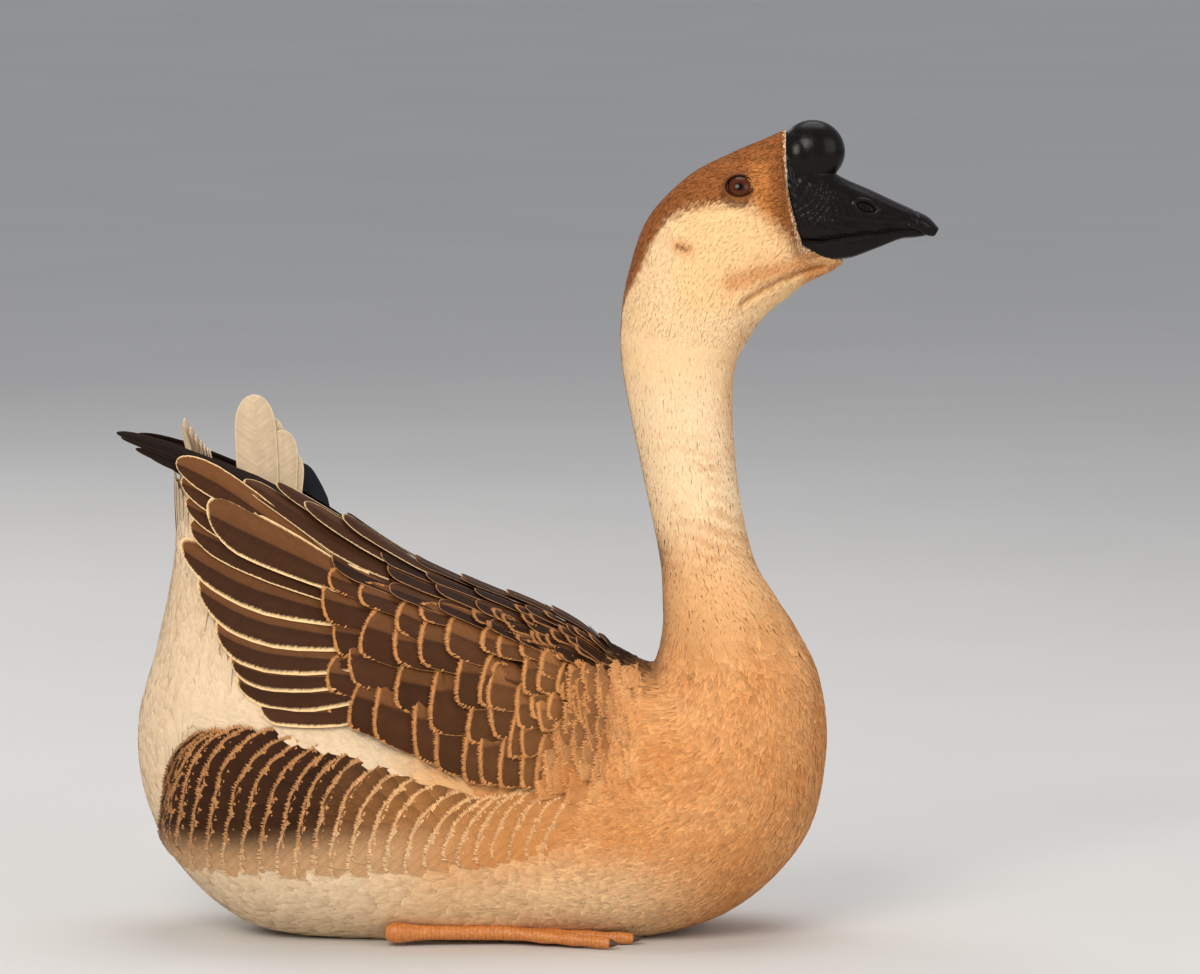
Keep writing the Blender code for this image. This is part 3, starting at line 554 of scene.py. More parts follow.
def body_tufts(vanes, t, a, length, width, lifts, stations, columns, chance, drift=0.15, tip_share=0.5,
               tip_tone=1.0, centre_tone=1.0, vary=0.08, crown=0.05, rim_width=0.0, rim_tone=1.0):
    """Tufts that follow the body from their roots, as sheets that rise towards their tips."""
    count = len(t)
    f = np.asarray(stations)[None, :, None]
    u = np.asarray(columns)[None, None, :]
    root, lie, around, _ = body_frame(t, a)
    size = length * chance.uniform(0.8, 1.2, count)
    dt = (size / np.maximum(np.linalg.norm(lie, axis=-1), 1.0))[:, None, None]
    da = (width / 2 / np.maximum(np.linalg.norm(around, axis=-1), 1.0))[:, None, None]
    lean = chance.normal(0, drift, count)[:, None, None] * da * 4
    shape = np.sin(np.minimum(f / 0.45, 1.0) * math.pi / 2) * 0.65 + 0.35
    shape = shape * np.sqrt(np.clip(1 - (np.maximum(0, (f - tip_share) / (1.02 - tip_share))) ** 2.2, 0, 1))
    tt = t[:, None, None] - f * dt
    aa = a[:, None, None] + u * da * shape + lean * f * f
    points, _, _, out = body_frame(tt, aa)
    low, high = lifts
    height = low + (high - low) * f ** 0.7 + crown * width * (1 - u * u) * (1 - f * 0.5)
    height = height * chance.uniform(0.85, 1.15, count)[:, None, None]
    points = points + out * (height + relief(points))[..., None]
    points[..., 2] = np.maximum(points[..., 2], FLOOR_GAP)
    colour = markings(root, a)
    colour = colour * chance.normal(1, vary, count)[:, None].clip(0.7, 1.25)
    tones = (centre_tone + (tip_tone - centre_tone) * smooth(0.45, 0.95, f)) * np.ones_like(u)
    tint = np.clip(colour[:, None, None, :] * tones[..., None], 0, 0.95)
    barbs = np.stack(np.broadcast_arrays(u * width / 2, f * size[:, None, None]), -1)
    places = tuft_places(t, a, stations, columns)
    if rim_width:
        rim = np.clip(tint * rim_tone, 0, 0.95)
        edge = np.minimum((1 - f) * size[:, None, None], shape * width / 2 * (1 - np.abs(u))) / rim_width
        vanes.add(points, tint, rim, edge, barbs, places)
    else:
        vanes.add(points, tint, tint, NO_RIM, barbs, places)


def tuft_fringe(vanes, t, a, chance, length, width, high, count, reach, tip_share, tip_tone):
    """Loose barbs round the ends of tufts that lie at the roots t and a."""
    number = len(t)
    root, lie, around, _ = body_frame(t, a)
    speed = np.maximum(np.linalg.norm(lie, axis=-1), 1.0)[:, None]
    girth = np.maximum(np.linalg.norm(around, axis=-1), 1.0)[:, None]
    swing = np.linspace(-1.25, 1.25, count)[None, :] + chance.uniform(-0.1, 0.1, (number, count))
    u = np.sin(swing)
    f = tip_share + (1.0 - tip_share) * np.clip(1 - u * u, 0, 1) ** 0.45
    out = reach * chance.uniform(0.5, 1.3, (number, count))
    lean = u * 0.25 + chance.normal(0, 0.15, (number, count))
    rows = []
    for step, half, height in ((-3.0, 0.4, high - 0.5), (1.0, 0.05, high + 0.25)):
        along = f * length + (out if step > 0 else np.full_like(out, step))
        across = u * width / 2 + (lean * out if step > 0 else 0.0)
        for s in (-1, 1):
            edge = a[:, None] + (across + s * half) / girth
            points, _, _, way = body_frame(t[:, None] - along / speed, edge)
            points = points + way * (height + relief(points))[..., None]
            points[..., 2] = np.maximum(points[..., 2], FLOOR_GAP)
            rows.append(points)
    points = np.stack(rows, 2).reshape(number * count, 2, 2, 3)
    colour = np.repeat(markings(root, a), count, 0) * chance.normal(tip_tone, 0.09, number * count)[:, None]
    tint = np.clip(colour, 0, 0.95)[:, None, None, :]
    vanes.add_plain(points, tint, tuft_places(np.repeat(t, count), np.repeat(a, count), (0, 1), (-1, 1)))


SKIN_ROWS = 420
SKIN_AROUND = 128
SKIN_FLOOR_GAP = 0.6


def make_skin(material):
    """One skin under the whole coat, from the tail's root to the bill."""
    t = np.linspace(0, LAST, SKIN_ROWS)
    a = np.linspace(0, FULL_TURN, SKIN_AROUND, endpoint=False)
    tt, aa = np.meshgrid(t, a, indexing="ij")
    points, _, _, out = body_frame(tt, aa)
    depth = 0.8 + 0.9 * smooth(20, 14, tt)
    points = points + out * (relief(points) - depth)[..., None]
    # A little darker than the coat's markings: painted shade in the gaps between the tufts.
    colour = (markings(body_points(tt, aa), aa) * 0.97).reshape(-1, 3)
    points = points.reshape(-1, 3)
    points[:, 2] = np.maximum(points[:, 2], SKIN_FLOOR_GAP)
    made = new_object("skin", points, grid_faces(SKIN_ROWS, SKIN_AROUND, True)[:, ::-1])
    store_colour(made, "tint", colour)
    store_colour(made, "rim", colour)
    store_value(made, "edge", np.full(len(points), NO_RIM))
    close_ends(made, SKIN_AROUND, False)
    return own(made, material, ("head", "neck_upper", "neck_lower", "breast", "torso"))


def wing_low_edge(x):
    return np.interp(-x, -WING[:, 0], WING[:, 6])


def under_wing(points):
    """True where a wing hides the body."""
    x, y, z = np.moveaxis(points, -1, 0)
    rear = 1.2 * np.maximum(0, -150 - x) - (24 + 8 * (y > 0)) * smooth(-90, -118, x)
    return (x < 72) & (x > -174) & (z > wing_low_edge(x) + 10 + rear)


def clear_of_eyes(points):
    return np.hypot(points[..., 0] - EYE_X, points[..., 2] - EYE_Z) > EYE_RADIUS - 0.6


# Places along and across a tuft.
THREE = (0.0, 0.55, 1.0)
FOUR = (0.0, 0.5, 0.85, 1.0)
NARROW = (-1.0, 0.0, 1.0)
WIDE = (-1.0, -0.5, 0.0, 0.5, 1.0)
COAT_SEED = 11


def make_coat(material):
    """The small feathers, smallest on the head and longest under the tail."""
    chance = np.random.default_rng(COAT_SEED)

    def seen(points):
        return ~under_wing(points) & (points[:, 2] > 1.0) & ~in_flank(points, 5.0, 30.0, 14.0)

    def thinned(t, share):
        return chance.uniform(0, 1, len(t)) < share

    def piece(name, slot, t, a, length, width, lifts, stations, columns, fringe=(), **looks):
        """Builds one piece. A fringe has length, width, height, barbs, reach, tip's share and tip's tone."""
        vanes = Vanes()
        body_tufts(vanes, t, a, length, width, lifts, stations, columns, chance, **looks)
        if fringe:
            tuft_fringe(vanes, t, a, chance, *fringe)
        vanes.build(name, material, slot)

    t, a = scatter(HEAD_START, LAST - 0.02, 1.8, 1.1, chance, lambda t, p: clear_of_eyes(p))
    root = body_points(t, a)
    length = 3.6 * (0.4 + 0.6 * smooth(1.5, 9.0, behind_bill(root[:, 0], root[:, 2])))
    piece("coat_head", "head_down", t, a, length, 1.2, (-0.4, 0.0), THREE, NARROW, vary=0.06, crown=0.02)

    t, a = scatter(14.2, HEAD_START + 0.3, 2.3, 1.5, chance, lambda t, p: thinned(t, smooth(14.2, 16.4, t)))
    piece("coat_neck", "head_down", t, a, 7.0, 1.8, (-0.5, 0.05), THREE, NARROW, vary=0.035, drift=0.35,
          crown=0.02)

    t, a = scatter(9.0, 17.8, 7.0, 5.8, chance,
                   lambda t, p: seen(p) & thinned(t, smooth(17.0, 14.4, t) * smooth(9.0, 11.0, t)))
    piece("coat_breast", "breast_down", t, a, 18.0, 12.0, (-1.3, 0.1), FOUR, WIDE,
          (18.0, 12.0, 0.15, 20, 3.2, 0.65, 1.12), tip_share=0.65, tip_tone=1.02, centre_tone=0.95, vary=0.06,
          crown=0.02, rim_width=1.4, rim_tone=1.1)

    t, a = scatter(9.4, 16.4, 3.8, 2.7, chance,
                   lambda t, p: seen(p) & thinned(t, smooth(16.4, 14.6, t) * smooth(9.4, 11.4, t)))
    piece("coat_breast_streaks", "breast_down", t, a, 9.0, 2.3, (-0.5, 0.4), THREE, NARROW, vary=0.13,
          drift=0.3, crown=0.02, tip_tone=1.12, centre_tone=0.96)

    t, a = scatter(4.0, 11.2, 8.0, 5.5, chance, lambda t, p: seen(p) & thinned(t, smooth(11.2, 9.0, t)))
    piece("coat_belly", "belly_down", t, a, 24.0, 9.0, (-1.0, 0.1), FOUR, WIDE,
          (23.0, 8.0, 0.1, 12, 4.0, 0.6, 1.04), tip_share=0.5, centre_tone=0.97, vary=0.03, crown=0.01,
          rim_width=0.7, rim_tone=1.08, drift=0.3)

    t, a = scatter(0.9, 4.4, 7.0, 4.0, chance, lambda t, p: seen(p))
    piece("coat_rump", "belly_down", t, a, 28.0, 6.0, (-1.0, 0.25), (0.0, 0.4, 0.75, 1.0), NARROW,
          (27.0, 4.5, 0.25, 7, 5.0, 0.5, 1.03), tip_share=0.35, tip_tone=1.02, centre_tone=0.97, vary=0.03,
          drift=0.6, crown=0.01)


def wing_lines(x):
    """The wing's stations at x, one value for each column after the first."""
    place = np.interp(-x, -WING[:, 0], np.arange(len(WING)))
    return np.moveaxis(spline(WING, place), -1, 0)[1:]


def wing_surface(side, x, t, back, height):
    """The wing's outer surface, raised by height: x along it, t across its back or its side part."""
    def flat(x, t):
        uy, uz, gy, gz, ly, lz, back_bulge, side_bulge = wing_lines(x)
        start = np.stack([uy, uz] if back else [gy, gz], -1)
        end = np.stack([gy, gz] if back else [ly, lz], -1)
        chord = end - start
        out = unit(np.stack([-chord[..., 1], chord[..., 0]], -1))
        inside = np.clip(t, 0, 1)
        bulge = (back_bulge if back else side_bulge) * 4 * inside * (1 - inside)
        place = start + chord * t[..., None] + out * bulge[..., None]
        return np.concatenate([x[..., None], place], -1)

    x, t = np.broadcast_arrays(x, t)
    here = flat(x, t)
    normal = unit(np.cross(flat(x + 2, t) - flat(x - 2, t), flat(x, t + 0.02) - flat(x, t - 0.02)))
    point = here + normal * np.asarray(height)[..., None]
    if side == FAR:
        behind = np.maximum(0.0, FAR_DROP_START - x)
        point[..., 2] -= behind * FAR_WING_DROP
        point[..., 0] += behind / 180 * FAR_WING_SHORT
    point[..., 1] = np.maximum(point[..., 1], 0.3) * side
    return point


def wing_chord(x, back):
    """The distance across the wing's back or side part at x."""
    uy, uz, gy, gz, ly, lz, _, _ = wing_lines(np.array((x,)))
    return (np.hypot(gy - uy, gz - uz) if back else np.hypot(ly - gy, lz - gz))[0]


VANE_STATIONS = np.array((0, 0.2, 0.4, 0.55, 0.68, 0.77, 0.84, 0.89, 0.93, 0.96, 0.98, 0.993, 1.0))
VANE_COLUMNS = np.array((-1, -0.94, -0.84, -0.5, -0.05, 0.05, 0.45, 0.8, 0.92, 1.0))
# Where the rounded end of a vane on the wing starts, and how far it bulges for its width.
WING_BLUNT = 0.8
CAMBER = 0.06


def vane_half_width(f, width, narrow, blunt, power=2.5):
    """Half a vane's width at f, from its root at 0 to its rounded tip at 1."""
    grown = narrow + (1 - narrow) * np.sin(np.minimum(f / 0.5, 1.0) * math.pi / 2)
    tip = np.sqrt(np.clip(1 - (np.maximum(0.0, (f - blunt) / (1 - blunt))) ** power, 0, 1))
    return width / 2 * grown * tip


SPECK_STEP = 0.0035
SPECK_START = 0.885
SPECKS_A_ROW = 282


class Sheet:
    """Where the bake's map has room for the next large vane."""

    def __init__(self, cells):
        self.cells = cells
        self.used = 0
        self.loose = 0

    def places(self, stations, columns):
        row, column = divmod(self.used, self.cells)
        self.used += 1
        size = 1 / self.cells
        u = (column + 0.5 + 0.42 * np.asarray(columns)[None, :]) * size
        v = (row + 0.08 + 0.84 * np.asarray(stations)[:, None]) * size
        return np.stack(np.broadcast_arrays(u, v), -1)

    def specks(self, count):
        """Small patches above the vanes' cells, one for each loose barb of three by two points."""
        number = self.loose + np.arange(count)
        self.loose += count
        u = 0.006 + (number % SPECKS_A_ROW) * SPECK_STEP
        v = SPECK_START + (number // SPECKS_A_ROW) * SPECK_STEP
        return patch_places(u, v, (0.0, 0.5, 1.0), (-1.0, 1.0))


def vane_looks(half, f, u, length, looks, shaft=0.8, side_rim=1.0):
    """The colour, the rim's colour, the distance to the rim and the barbs' places over one vane.
    looks are its light and dark half, its rim, the rim's width and its brightness. A small side_rim dims
    the rim along its sides."""
    light, dark, rim, rim_width, brightness = looks
    side = half * (1 - np.abs(u)) / side_rim / rim_width + 0.9 * (1 - side_rim)
    edge = np.minimum(side, (1 - f) * length / rim_width)
    ones = np.ones_like(f)
    tint = blend(light, dark, np.clip((u + 0.05) / 0.1, 0, 1) * ones)
    tint = tint * (brightness * (1.08 - 0.2 * np.abs(u) ** 2 * ones))[..., None]
    tint = tint * (1 - (1 - shaft) * ((np.abs(u) < 0.06) * ones))[..., None]
    across = half * u
    along = f * length * np.ones_like(u)
    return tint, rim, edge, np.stack([across, along - 0.8 * np.abs(across)], -1)


def wing_run(root, tip, back):
    """The chord at a vane's middle, the vane's length and its way down, for a vane from root to tip."""
    chord = wing_chord((root[0] + tip[0]) / 2, back)
    ahead = np.array((tip[0] - root[0], (tip[1] - root[1]) * chord))
    length = np.linalg.norm(ahead)
    ahead = ahead / length
    return chord, length, np.array((-ahead[1], ahead[0])) * (-1 if ahead[0] < 0 else 1)


def wing_vane(vanes, sheet, side, root, tip, back, width, heights, looks, roll=0.0, sag=0.0, power=2.5,
              side_rim=1.0, slant=0.0):
    """A large vane on the wing, from root to tip, both as (x, t). A slant draws back its upper corner."""
    f = VANE_STATIONS[:, None]
    u = VANE_COLUMNS[None, :]
    chord, length, down = wing_run(root, tip, back)
    half = vane_half_width(f, width, 0.6, WING_BLUNT, power)
    across = half * u
    x = root[0] + (tip[0] - root[0]) * f + down[0] * across
    x = x + slant * (1 - 2 * across / width) / 2 * smooth(0.4, 1.0, f)
    t = root[1] + (tip[1] - root[1]) * f + sag * np.sin(math.pi * f) + down[1] * across / chord
    height = heights[0] + (heights[1] - heights[0]) * f ** 0.8 + roll * across
    height = height + CAMBER * width * (1 - u * u) * 0.5 - 0.5 * CAMBER * width * 0.5
    points = wing_surface(side, x, t, back, height)
    vanes.add_one(sheet, VANE_STATIONS, VANE_COLUMNS, side == NEAR, points,
                  *vane_looks(half, f, u, length, looks, side_rim=side_rim))


def barb_grid(rows, count):
    """Both coordinates of loose barbs that are given edge by edge, each barb as three by two points."""
    return (np.stack(values, -1).reshape(count, 3, 2) for values in zip(*rows))


def teeth(vanes, sheet, side, root, tip, back, width, heights, colour, chance, count, reach, roll, power=2.5,
          slant=0.0):
    """Loose barbs along the rounded end of a vane on the wing."""
    chord, length, down = wing_run(root, tip, back)
    turn = np.linspace(-1.25, 1.25, count) + chance.uniform(-0.02, 0.02, count)
    u = np.clip(np.sin(turn) * 1.06, -1, 1)
    f = WING_BLUNT + (1 - WING_BLUNT) * np.clip(1 - u * u, 0, 1) ** (1 / power)
    spill = np.clip((np.abs(turn) - 1.0) / 0.25, 0, 1)
    f = f - 0.2 * spill * chance.uniform(0, 1, count)
    across = width / 2 * u
    size = reach * chance.uniform(0.5, 1.2, count)
    out_across = np.sin(turn) * 0.7 + chance.normal(0, 0.18, count)
    out_ahead = 0.4 + 0.6 * np.cos(turn) + chance.normal(0, 0.1, count)
    base = chance.uniform(0.35, 0.6, count)
    rows = []
    for inward, half in ((-1.4, 1.0), (0.1, 0.8), (1.0, 0.05)):
        step = size * inward if inward > 0.5 else np.full(count, inward)
        for s in (-1, 1):
            offset = s * base * half
            rows.append((across + out_across * step + offset * np.cos(turn),
                         f * length + out_ahead * step - offset * np.sin(turn)))
    across, along = barb_grid(rows, count)
    along = along / length
    x = root[0] + (tip[0] - root[0]) * along + down[0] * across + slant * (1 - across * 2 / width) / 2
    t = root[1] + (tip[1] - root[1]) * along + down[1] * across / chord
    height = heights[0] + (heights[1] - heights[0]) * np.clip(along, 0, 1.1) ** 0.8 + roll * across + 0.15
    points = wing_surface(side, x, t, back, height)
    if side == NEAR:
        points = points[:, :, ::-1]
    vanes.add_plain(points, colour * chance.uniform(0.85, 1.15, (count, 1, 1, 1)), sheet.specks(count))


# Each secondary: tip x, tip t, root t, width and how much of its rim is pale.
SECONDARIES = (
    (-187, -0.05, -0.02, 23, 0.7),
    (-184, 0.06, 0.03, 22, 0.7),
    (-181, 0.18, 0.08, 22, 0.7),
    (-178, 0.31, 0.13, 23, 0.7),
    (-184, 0.48, 0.25, 27, 1.7),
    (-173, 0.63, 0.41, 27, 1.7),
    (-161, 0.775, 0.56, 22, 1.6),
    (-151, 0.872, 0.665, 18, 1.4),
    (-147, 0.955, 0.76, 21, 1.6),
    (-134, 1.02, 0.87, 22, 1.3),
)
SECONDARY_ROOT_X = -74
PRIMARIES = ((-224, 0.30, 0.10, 14), (-221, 0.45, 0.30, 13), (-212, 0.75, 0.45, 14), (-203, 0.85, 0.55, 14),
             (-190, 0.95, 0.62, 14), (-172, 1.05, 0.70, 15))
# Each tertial: tip x, tip t, root x, root t, width, height and its own lightness.
TERTIALS = (
    (-147, 0.45, -55, 0.62, 26, 4.6, 1.15),
    (-128, 0.14, -40, 0.30, 22, 5.2, 0.8),
    (-111, 0.28, -28, 0.42, 22, 6.2, 1.2),
    (-88, 0.16, -8, 0.30, 20, 7.0, 1.15),
)
# Each row of scapulars: t, first tip x, step, how many, length, width.
SCAPULAR_ROWS = (
    (0.92, -93, 34, 5, 50, 18),
    (0.68, -60, 30, 5, 50, 18),
    (0.42, -62, 29, 5, 50, 19),
    (0.14, -44, 30, 5, 52, 19),
)
# Each column of coverts: tip x, how many, length, width, rim and how far it has turned to the breast's tan.
COVERT_COLUMNS = (
    (-96, 5, 42, 27, 1.1, 0.0),
    (-82, 4, 44, 35, 1.3, 0.0),
    (-60, 4, 42, 36, 1.9, 0.0),
    (-42, 3, 40, 44, 2.1, 0.03),
    (-26, 3, 38, 46, 2.2, 0.06),
    (-10, 3, 36, 44, 2.2, 0.10),
    (3, 4, 32, 36, 2.2, 0.15),
    (15, 4, 30, 34, 2.2, 0.22),
    (26, 5, 28, 28, 2.1, 0.30),
    (36, 5, 26, 26, 2.0, 0.42),
    (46, 6, 24, 22, 1.9, 0.56),
    (55, 7, 22, 18, 1.8, 0.72),
    (64, 8, 20, 16, 1.7, 0.9),
    (73, 9, 18, 14, 1.6, 1.0),
)


# Each tier of small feathers on the shoulder: t, first tip x, how many, length and width.
SHOULDER_TIERS = ((0.75, 8, 6, 22, 11), (0.5, 22, 6, 20, 10), (0.9, -4, 8, 20, 10))
WING_SEED = 5
WING_CELLS = 14
COVERT_ROLL = 0.09
COVERT_POWER = 2.7


def wing_base(side, word, material):
    """The wing's dark base under all its feathers."""
    steps = np.linspace(84, -100, 60)
    places = [(k / 12, True) for k in range(13)] + [((k + 1) / 16.6, False) for k in range(16)]
    columns = [wing_surface(side, steps, np.full(60, t), back, np.full(60, -3.2)) for t, back in places]
    grid = np.stack(columns, 1)
    if side == FAR:
        grid = grid[:, ::-1]
    base = Vanes()
    shade = blend(BACK_DARK, COVERT_DARK, smooth(-20, 50, grid[..., 0]))
    base.add_plain(grid[None], shade[None], (0.5, 0.5))
    made = base.build("wing_base_" + word, material, "wing_feather")
    made.data.uv_layers.remove(made.data.uv_layers["OFBake"])


def coverts(lay, fray, chance):
    """The coverts of the wing's side, column by column from its rear."""
    for column, (tip_x, count, length, width, rim, tan) in enumerate(COVERT_COLUMNS):
        light = blend(COVERT_LIGHT, BREAST, tan)
        dark = blend(COVERT_DARK, BREAST * 0.72, tan)
        fringe = blend(COVERT_RIM, BREAST * 1.05, tan)
        chord = wing_chord(tip_x, False)
        stagger = 0.5 if column % 2 and column > 1 else 0.0
        rows = count + (1 if stagger else 0)
        for row in range(rows):
            low = min(1.0, (row + 1 - stagger) / count + chance.uniform(-0.07, 0.05))
            if row == rows - 1:
                low = 1.0
            wide = min(width * chance.uniform(0.85, 1.25), (low + 0.03) * chord)
            t = low - wide / 2 / chord
            lean = 14 * (0.5 - t) if tip_x > -90 else 0.0
            tip = (tip_x + chance.uniform(-4.5, 4.5) + lean, t)
            root = (min(tip[0] + length, 88), t - chance.uniform(0.02, 0.11))
            where = (root, tip, False, wide, (-2.2, 2.2 + 0.4 * (row % 2)))
            slant = wide * chance.uniform(0.2, 0.5)
            looks = (light, dark, fringe, rim * 0.8, chance.uniform(0.8, 1.15))
            lay(*where, looks, roll=COVERT_ROLL, power=COVERT_POWER, side_rim=0.3, slant=slant)
            fray(*where, fringe, chance, int(20 + wide * 1.3), 0.7 + rim * 0.5, COVERT_ROLL, COVERT_POWER,
                 slant)


def make_wing(side, word, vane_material, skin_material):
    """One folded wing: its dark base, then every tier of its feathers."""
    chance = np.random.default_rng(WING_SEED)
    wing_base(side, word, skin_material)
    vanes = Vanes()
    sheet = Sheet(WING_CELLS)
    lay = partial(wing_vane, vanes, sheet, side)
    fray = partial(teeth, vanes, sheet, side)
    for tip_x, tip_t, root_t, width in PRIMARIES:
        looks = (PRIMARY_DARK, PRIMARY_DARK * 0.8, PRIMARY_RIM, 0.5, 1.0)
        lay((-76, root_t), (tip_x, tip_t), True, width, (-3.6, -0.8), looks, roll=0.12)
    for i, (tip_x, tip_t, root_t, width, rim) in enumerate(SECONDARIES):
        looks = (SECONDARY_LIGHT, SECONDARY_DARK, SECONDARY_RIM, rim, chance.uniform(0.9, 1.1))
        lift = 6 * smooth(3, 7, i)
        lay((SECONDARY_ROOT_X, root_t), (tip_x, tip_t), False, width, (-2.6 + 0.4 * lift, 1.0 + lift), looks,
            roll=0.17, sag=0.03 if i > 3 else 0.0)
    looks = (SECONDARY_LIGHT * 0.95, SECONDARY_DARK, SECONDARY_RIM, 1.3, 1.0)
    lay((-66, -0.02), (-168, 0.165), False, 31, (-1.0, 3.6), looks, roll=0.10, sag=0.02)
    for tip_x, tip_t, root_x, root_t, width, high, light in TERTIALS:
        looks = (SCAPULAR_LIGHT * light, SECONDARY_DARK, SECONDARY_RIM * 0.8, 0.9, 1.0)
        lay((root_x, root_t), (tip_x, tip_t), True, width, (-1.0, high - 1.5), looks, roll=0.10)
    for t, first, step, count, length, width in SCAPULAR_ROWS:
        for i in range(count):
            tip = (first + step * i + chance.uniform(-3, 3), t + chance.uniform(-0.05, 0.05))
            root = (min(tip[0] + length, 84), t - 0.06)
            looks = (SCAPULAR_LIGHT, SCAPULAR_DARK, SCAPULAR_RIM, 0.6, chance.uniform(0.75, 1.15))
            lay(root, tip, True, width - 1.0 * i, (-2.0, 2.6), looks, roll=0.12)
    coverts(lay, fray, chance)
    for t, first, count, length, width in SHOULDER_TIERS:
        for i in range(count):
            tip = (first + 9 * i, t + 0.12 * math.sin(2.4 * i))
            where = ((tip[0] + length, tip[1] - 0.1), tip, True, width, (-1.0, 3.0))
            looks = (SCAPULAR_LIGHT, SCAPULAR_DARK, COVERT_RIM * 0.7, 1.2, chance.uniform(0.9, 1.1))
            lay(*where, looks, roll=0.12)
            fray(*where, COVERT_RIM * 0.7, chance, 26, 1.6, 0.12)
    if side == FAR:
        # The far wing's raised feather is coloured with painted shade and a painted blue reflection of the
        # sky.
        looks = (SHADE_AND_SKY_BLUE_BLACK, SHADE_AND_SKY_BLUE_BLACK * 0.8, SHADE_AND_SKY_BLUE_BLACK * 1.4, 0.5, 1.0)
        free_vane(vanes, sheet, (-97, 24, 247), (-119, 32, 290), (0.2, -0.75, 0.6), 24, looks, 3.0)
    vanes.build("wing_feathers_" + word, vane_material, "wing_feather", ("wing_" + word,))


CUP = 0.1


def free_vane(vanes, sheet, root, tip, normal, width, looks, bow, narrow=0.5):
    """A vane in the open from root to tip, facing along normal and cupped away from it."""
    f = VANE_STATIONS[:, None]
    u = VANE_COLUMNS[None, :]
    root = np.array(root, float)
    tip = np.array(tip, float)
    length = np.linalg.norm(tip - root)
    ahead = (tip - root) / length
    normal = np.array(normal, float)
    normal = unit(normal - ahead * normal.dot(ahead))
    side = np.cross(ahead, normal)
    half = vane_half_width(f, width, narrow, 0.75)
    rise = bow * np.sin(math.pi * f) - CUP * width / 2 * np.abs(u) ** 2 * (0.3 + 0.7 * f)
    points = root + ahead * (f * length)[..., None] + side * (half * u)[..., None] + normal * rise[..., None]
    vanes.add_one(sheet, VANE_STATIONS, VANE_COLUMNS, False, points,
                  *vane_looks(half, f, u, length, looks, shaft=0.93))


RECTRICES = 14
UNDER_COVERTS = 9
TAIL_CELLS = 7
# Each white covert above the tail: root x, tip x, tip z, width and y.
UPPER_COVERTS = ((-124, -140.6, 336.5, 26, 0), (-114, -123, 314, 21, 6), (-119, -130, 322, 19, 9),
                 (-112, -117, 300, 18, 10))


def make_tail(material):
    """The cocked tail: a fan of quills between the white coverts over and under their roots."""
    vanes = Vanes()
    sheet = Sheet(TAIL_CELLS)
    pale = (WHITE * 0.80, WHITE * 0.76, WHITE * 0.88, 0.8, 1.0)
    for i in range(RECTRICES):
        a = 2 * i / (RECTRICES - 1) - 1
        under = 0.9 * abs(i - (RECTRICES - 1) / 2)
        root = (-160 - under, 12 * a, 238)
        tip = (-167 - under - 11 * a * a, 19 * a, 302 + 18 * a * a)
        free_vane(vanes, sheet, root, tip, (1, -0.3 * a, 0), 16, pale, 1.0)
    for i in range(UNDER_COVERTS):
        a = 2 * i / (UNDER_COVERTS - 1) - 1
        root = (-187 + 4 * abs(a), 15 * a, 226 + 4 * abs(a))
        tip = (-190.5 + 7 * a * a, 18.5 * a, 291 - 16 * abs(a))
        free_vane(vanes, sheet, root, tip, (-1, 0.5 * a, 0.2), 12, pale, 1.0)
    for root_x, tip_x, tip_z, width, y in UPPER_COVERTS:
        root = (root_x - 12, y, 238)
        free_vane(vanes, sheet, root, (tip_x, y * 0.6, tip_z), (0.15, -1, 0), width, pale, 2.0, narrow=0.6)
    vanes.build("tail_feathers", material, "tail_feather", ("tail",))


FLANK_STEP = 8.0
FLANK_LENGTH = 27
FLANK_WIDTH = 21
FLANK_STATIONS = np.array((0, 0.4, 0.7, 0.84, 0.92, 0.96, 0.985, 1.0))
FLANK_COLUMNS = np.array((-1, -0.84, -0.45, 0, 0.45, 0.84, 1.0))
FLANK_BLUNT = 0.84
FLANK_SEED = 3
FLANK_CELLS = 19
SHOULDER_CELLS = 14
SKIN_DEPTH = 1.7
WING_RAISE = 2.6
FRONT_ROWS = 30
FRONT_COLUMNS = 24
# How far to the side the rays that look for the body start, in metres.
SIDE_START = 0.3


def wing_front(side):
    """The front of a wing's outer surface as a tree, where the breast's feathers lap over it."""
    x, t = np.meshgrid(np.linspace(20, 98, FRONT_ROWS), np.linspace(0, 1.16, FRONT_COLUMNS), indexing="ij")
    height = WING_RAISE * smooth(1.05, 0.85, t) * smooth(98, 84, x) - 60 * np.maximum(0, t - 1)
    points = wing_surface(side, x, t, False, height)
    return BVHTree.FromPolygons(metres(points).reshape(-1, 3).tolist(),
                                grid_faces(FRONT_ROWS, FRONT_COLUMNS).tolist())


def side_projector(skin):
    """A function that puts side-view points on the body's surface or over the wing, at a height above it."""
    tree = BVHTree.FromObject(skin, bpy.context.evaluated_depsgraph_get())
    fronts = {side: wing_front(side) for side, _ in SIDES}

    def project(side, x, z, height, over_wing=False):
        shape = np.shape(x)
        points = []
        for px, pz, ph in zip(x.ravel(), z.ravel(), np.broadcast_to(height, shape).ravel()):
            start = Vector(((px - CENTRE_X) * MM, side * SIDE_START, max(pz, 1.0) * MM))
            hit, normal, _, _ = tree.ray_cast(start, Vector((0, -side, 0)))
            if over_wing:
                higher, way, _, _ = fronts[side].ray_cast(start, Vector((0, -side, 0)))
                if higher is not None and abs(higher.y) > abs(hit.y):
                    hit = higher
                    normal = way if way.y * side > 0 else -way
            if hit is None:
                hit, normal, _, _ = tree.find_nearest(Vector((start.x, side * 0.05, start.z)))
            place = hit + normal * (ph * MM)
            points.append((place.x / MM + CENTRE_X, place.y / MM, max(place.z / MM, 0.4)))
        return np.array(points).reshape(*shape, 3)

    return project


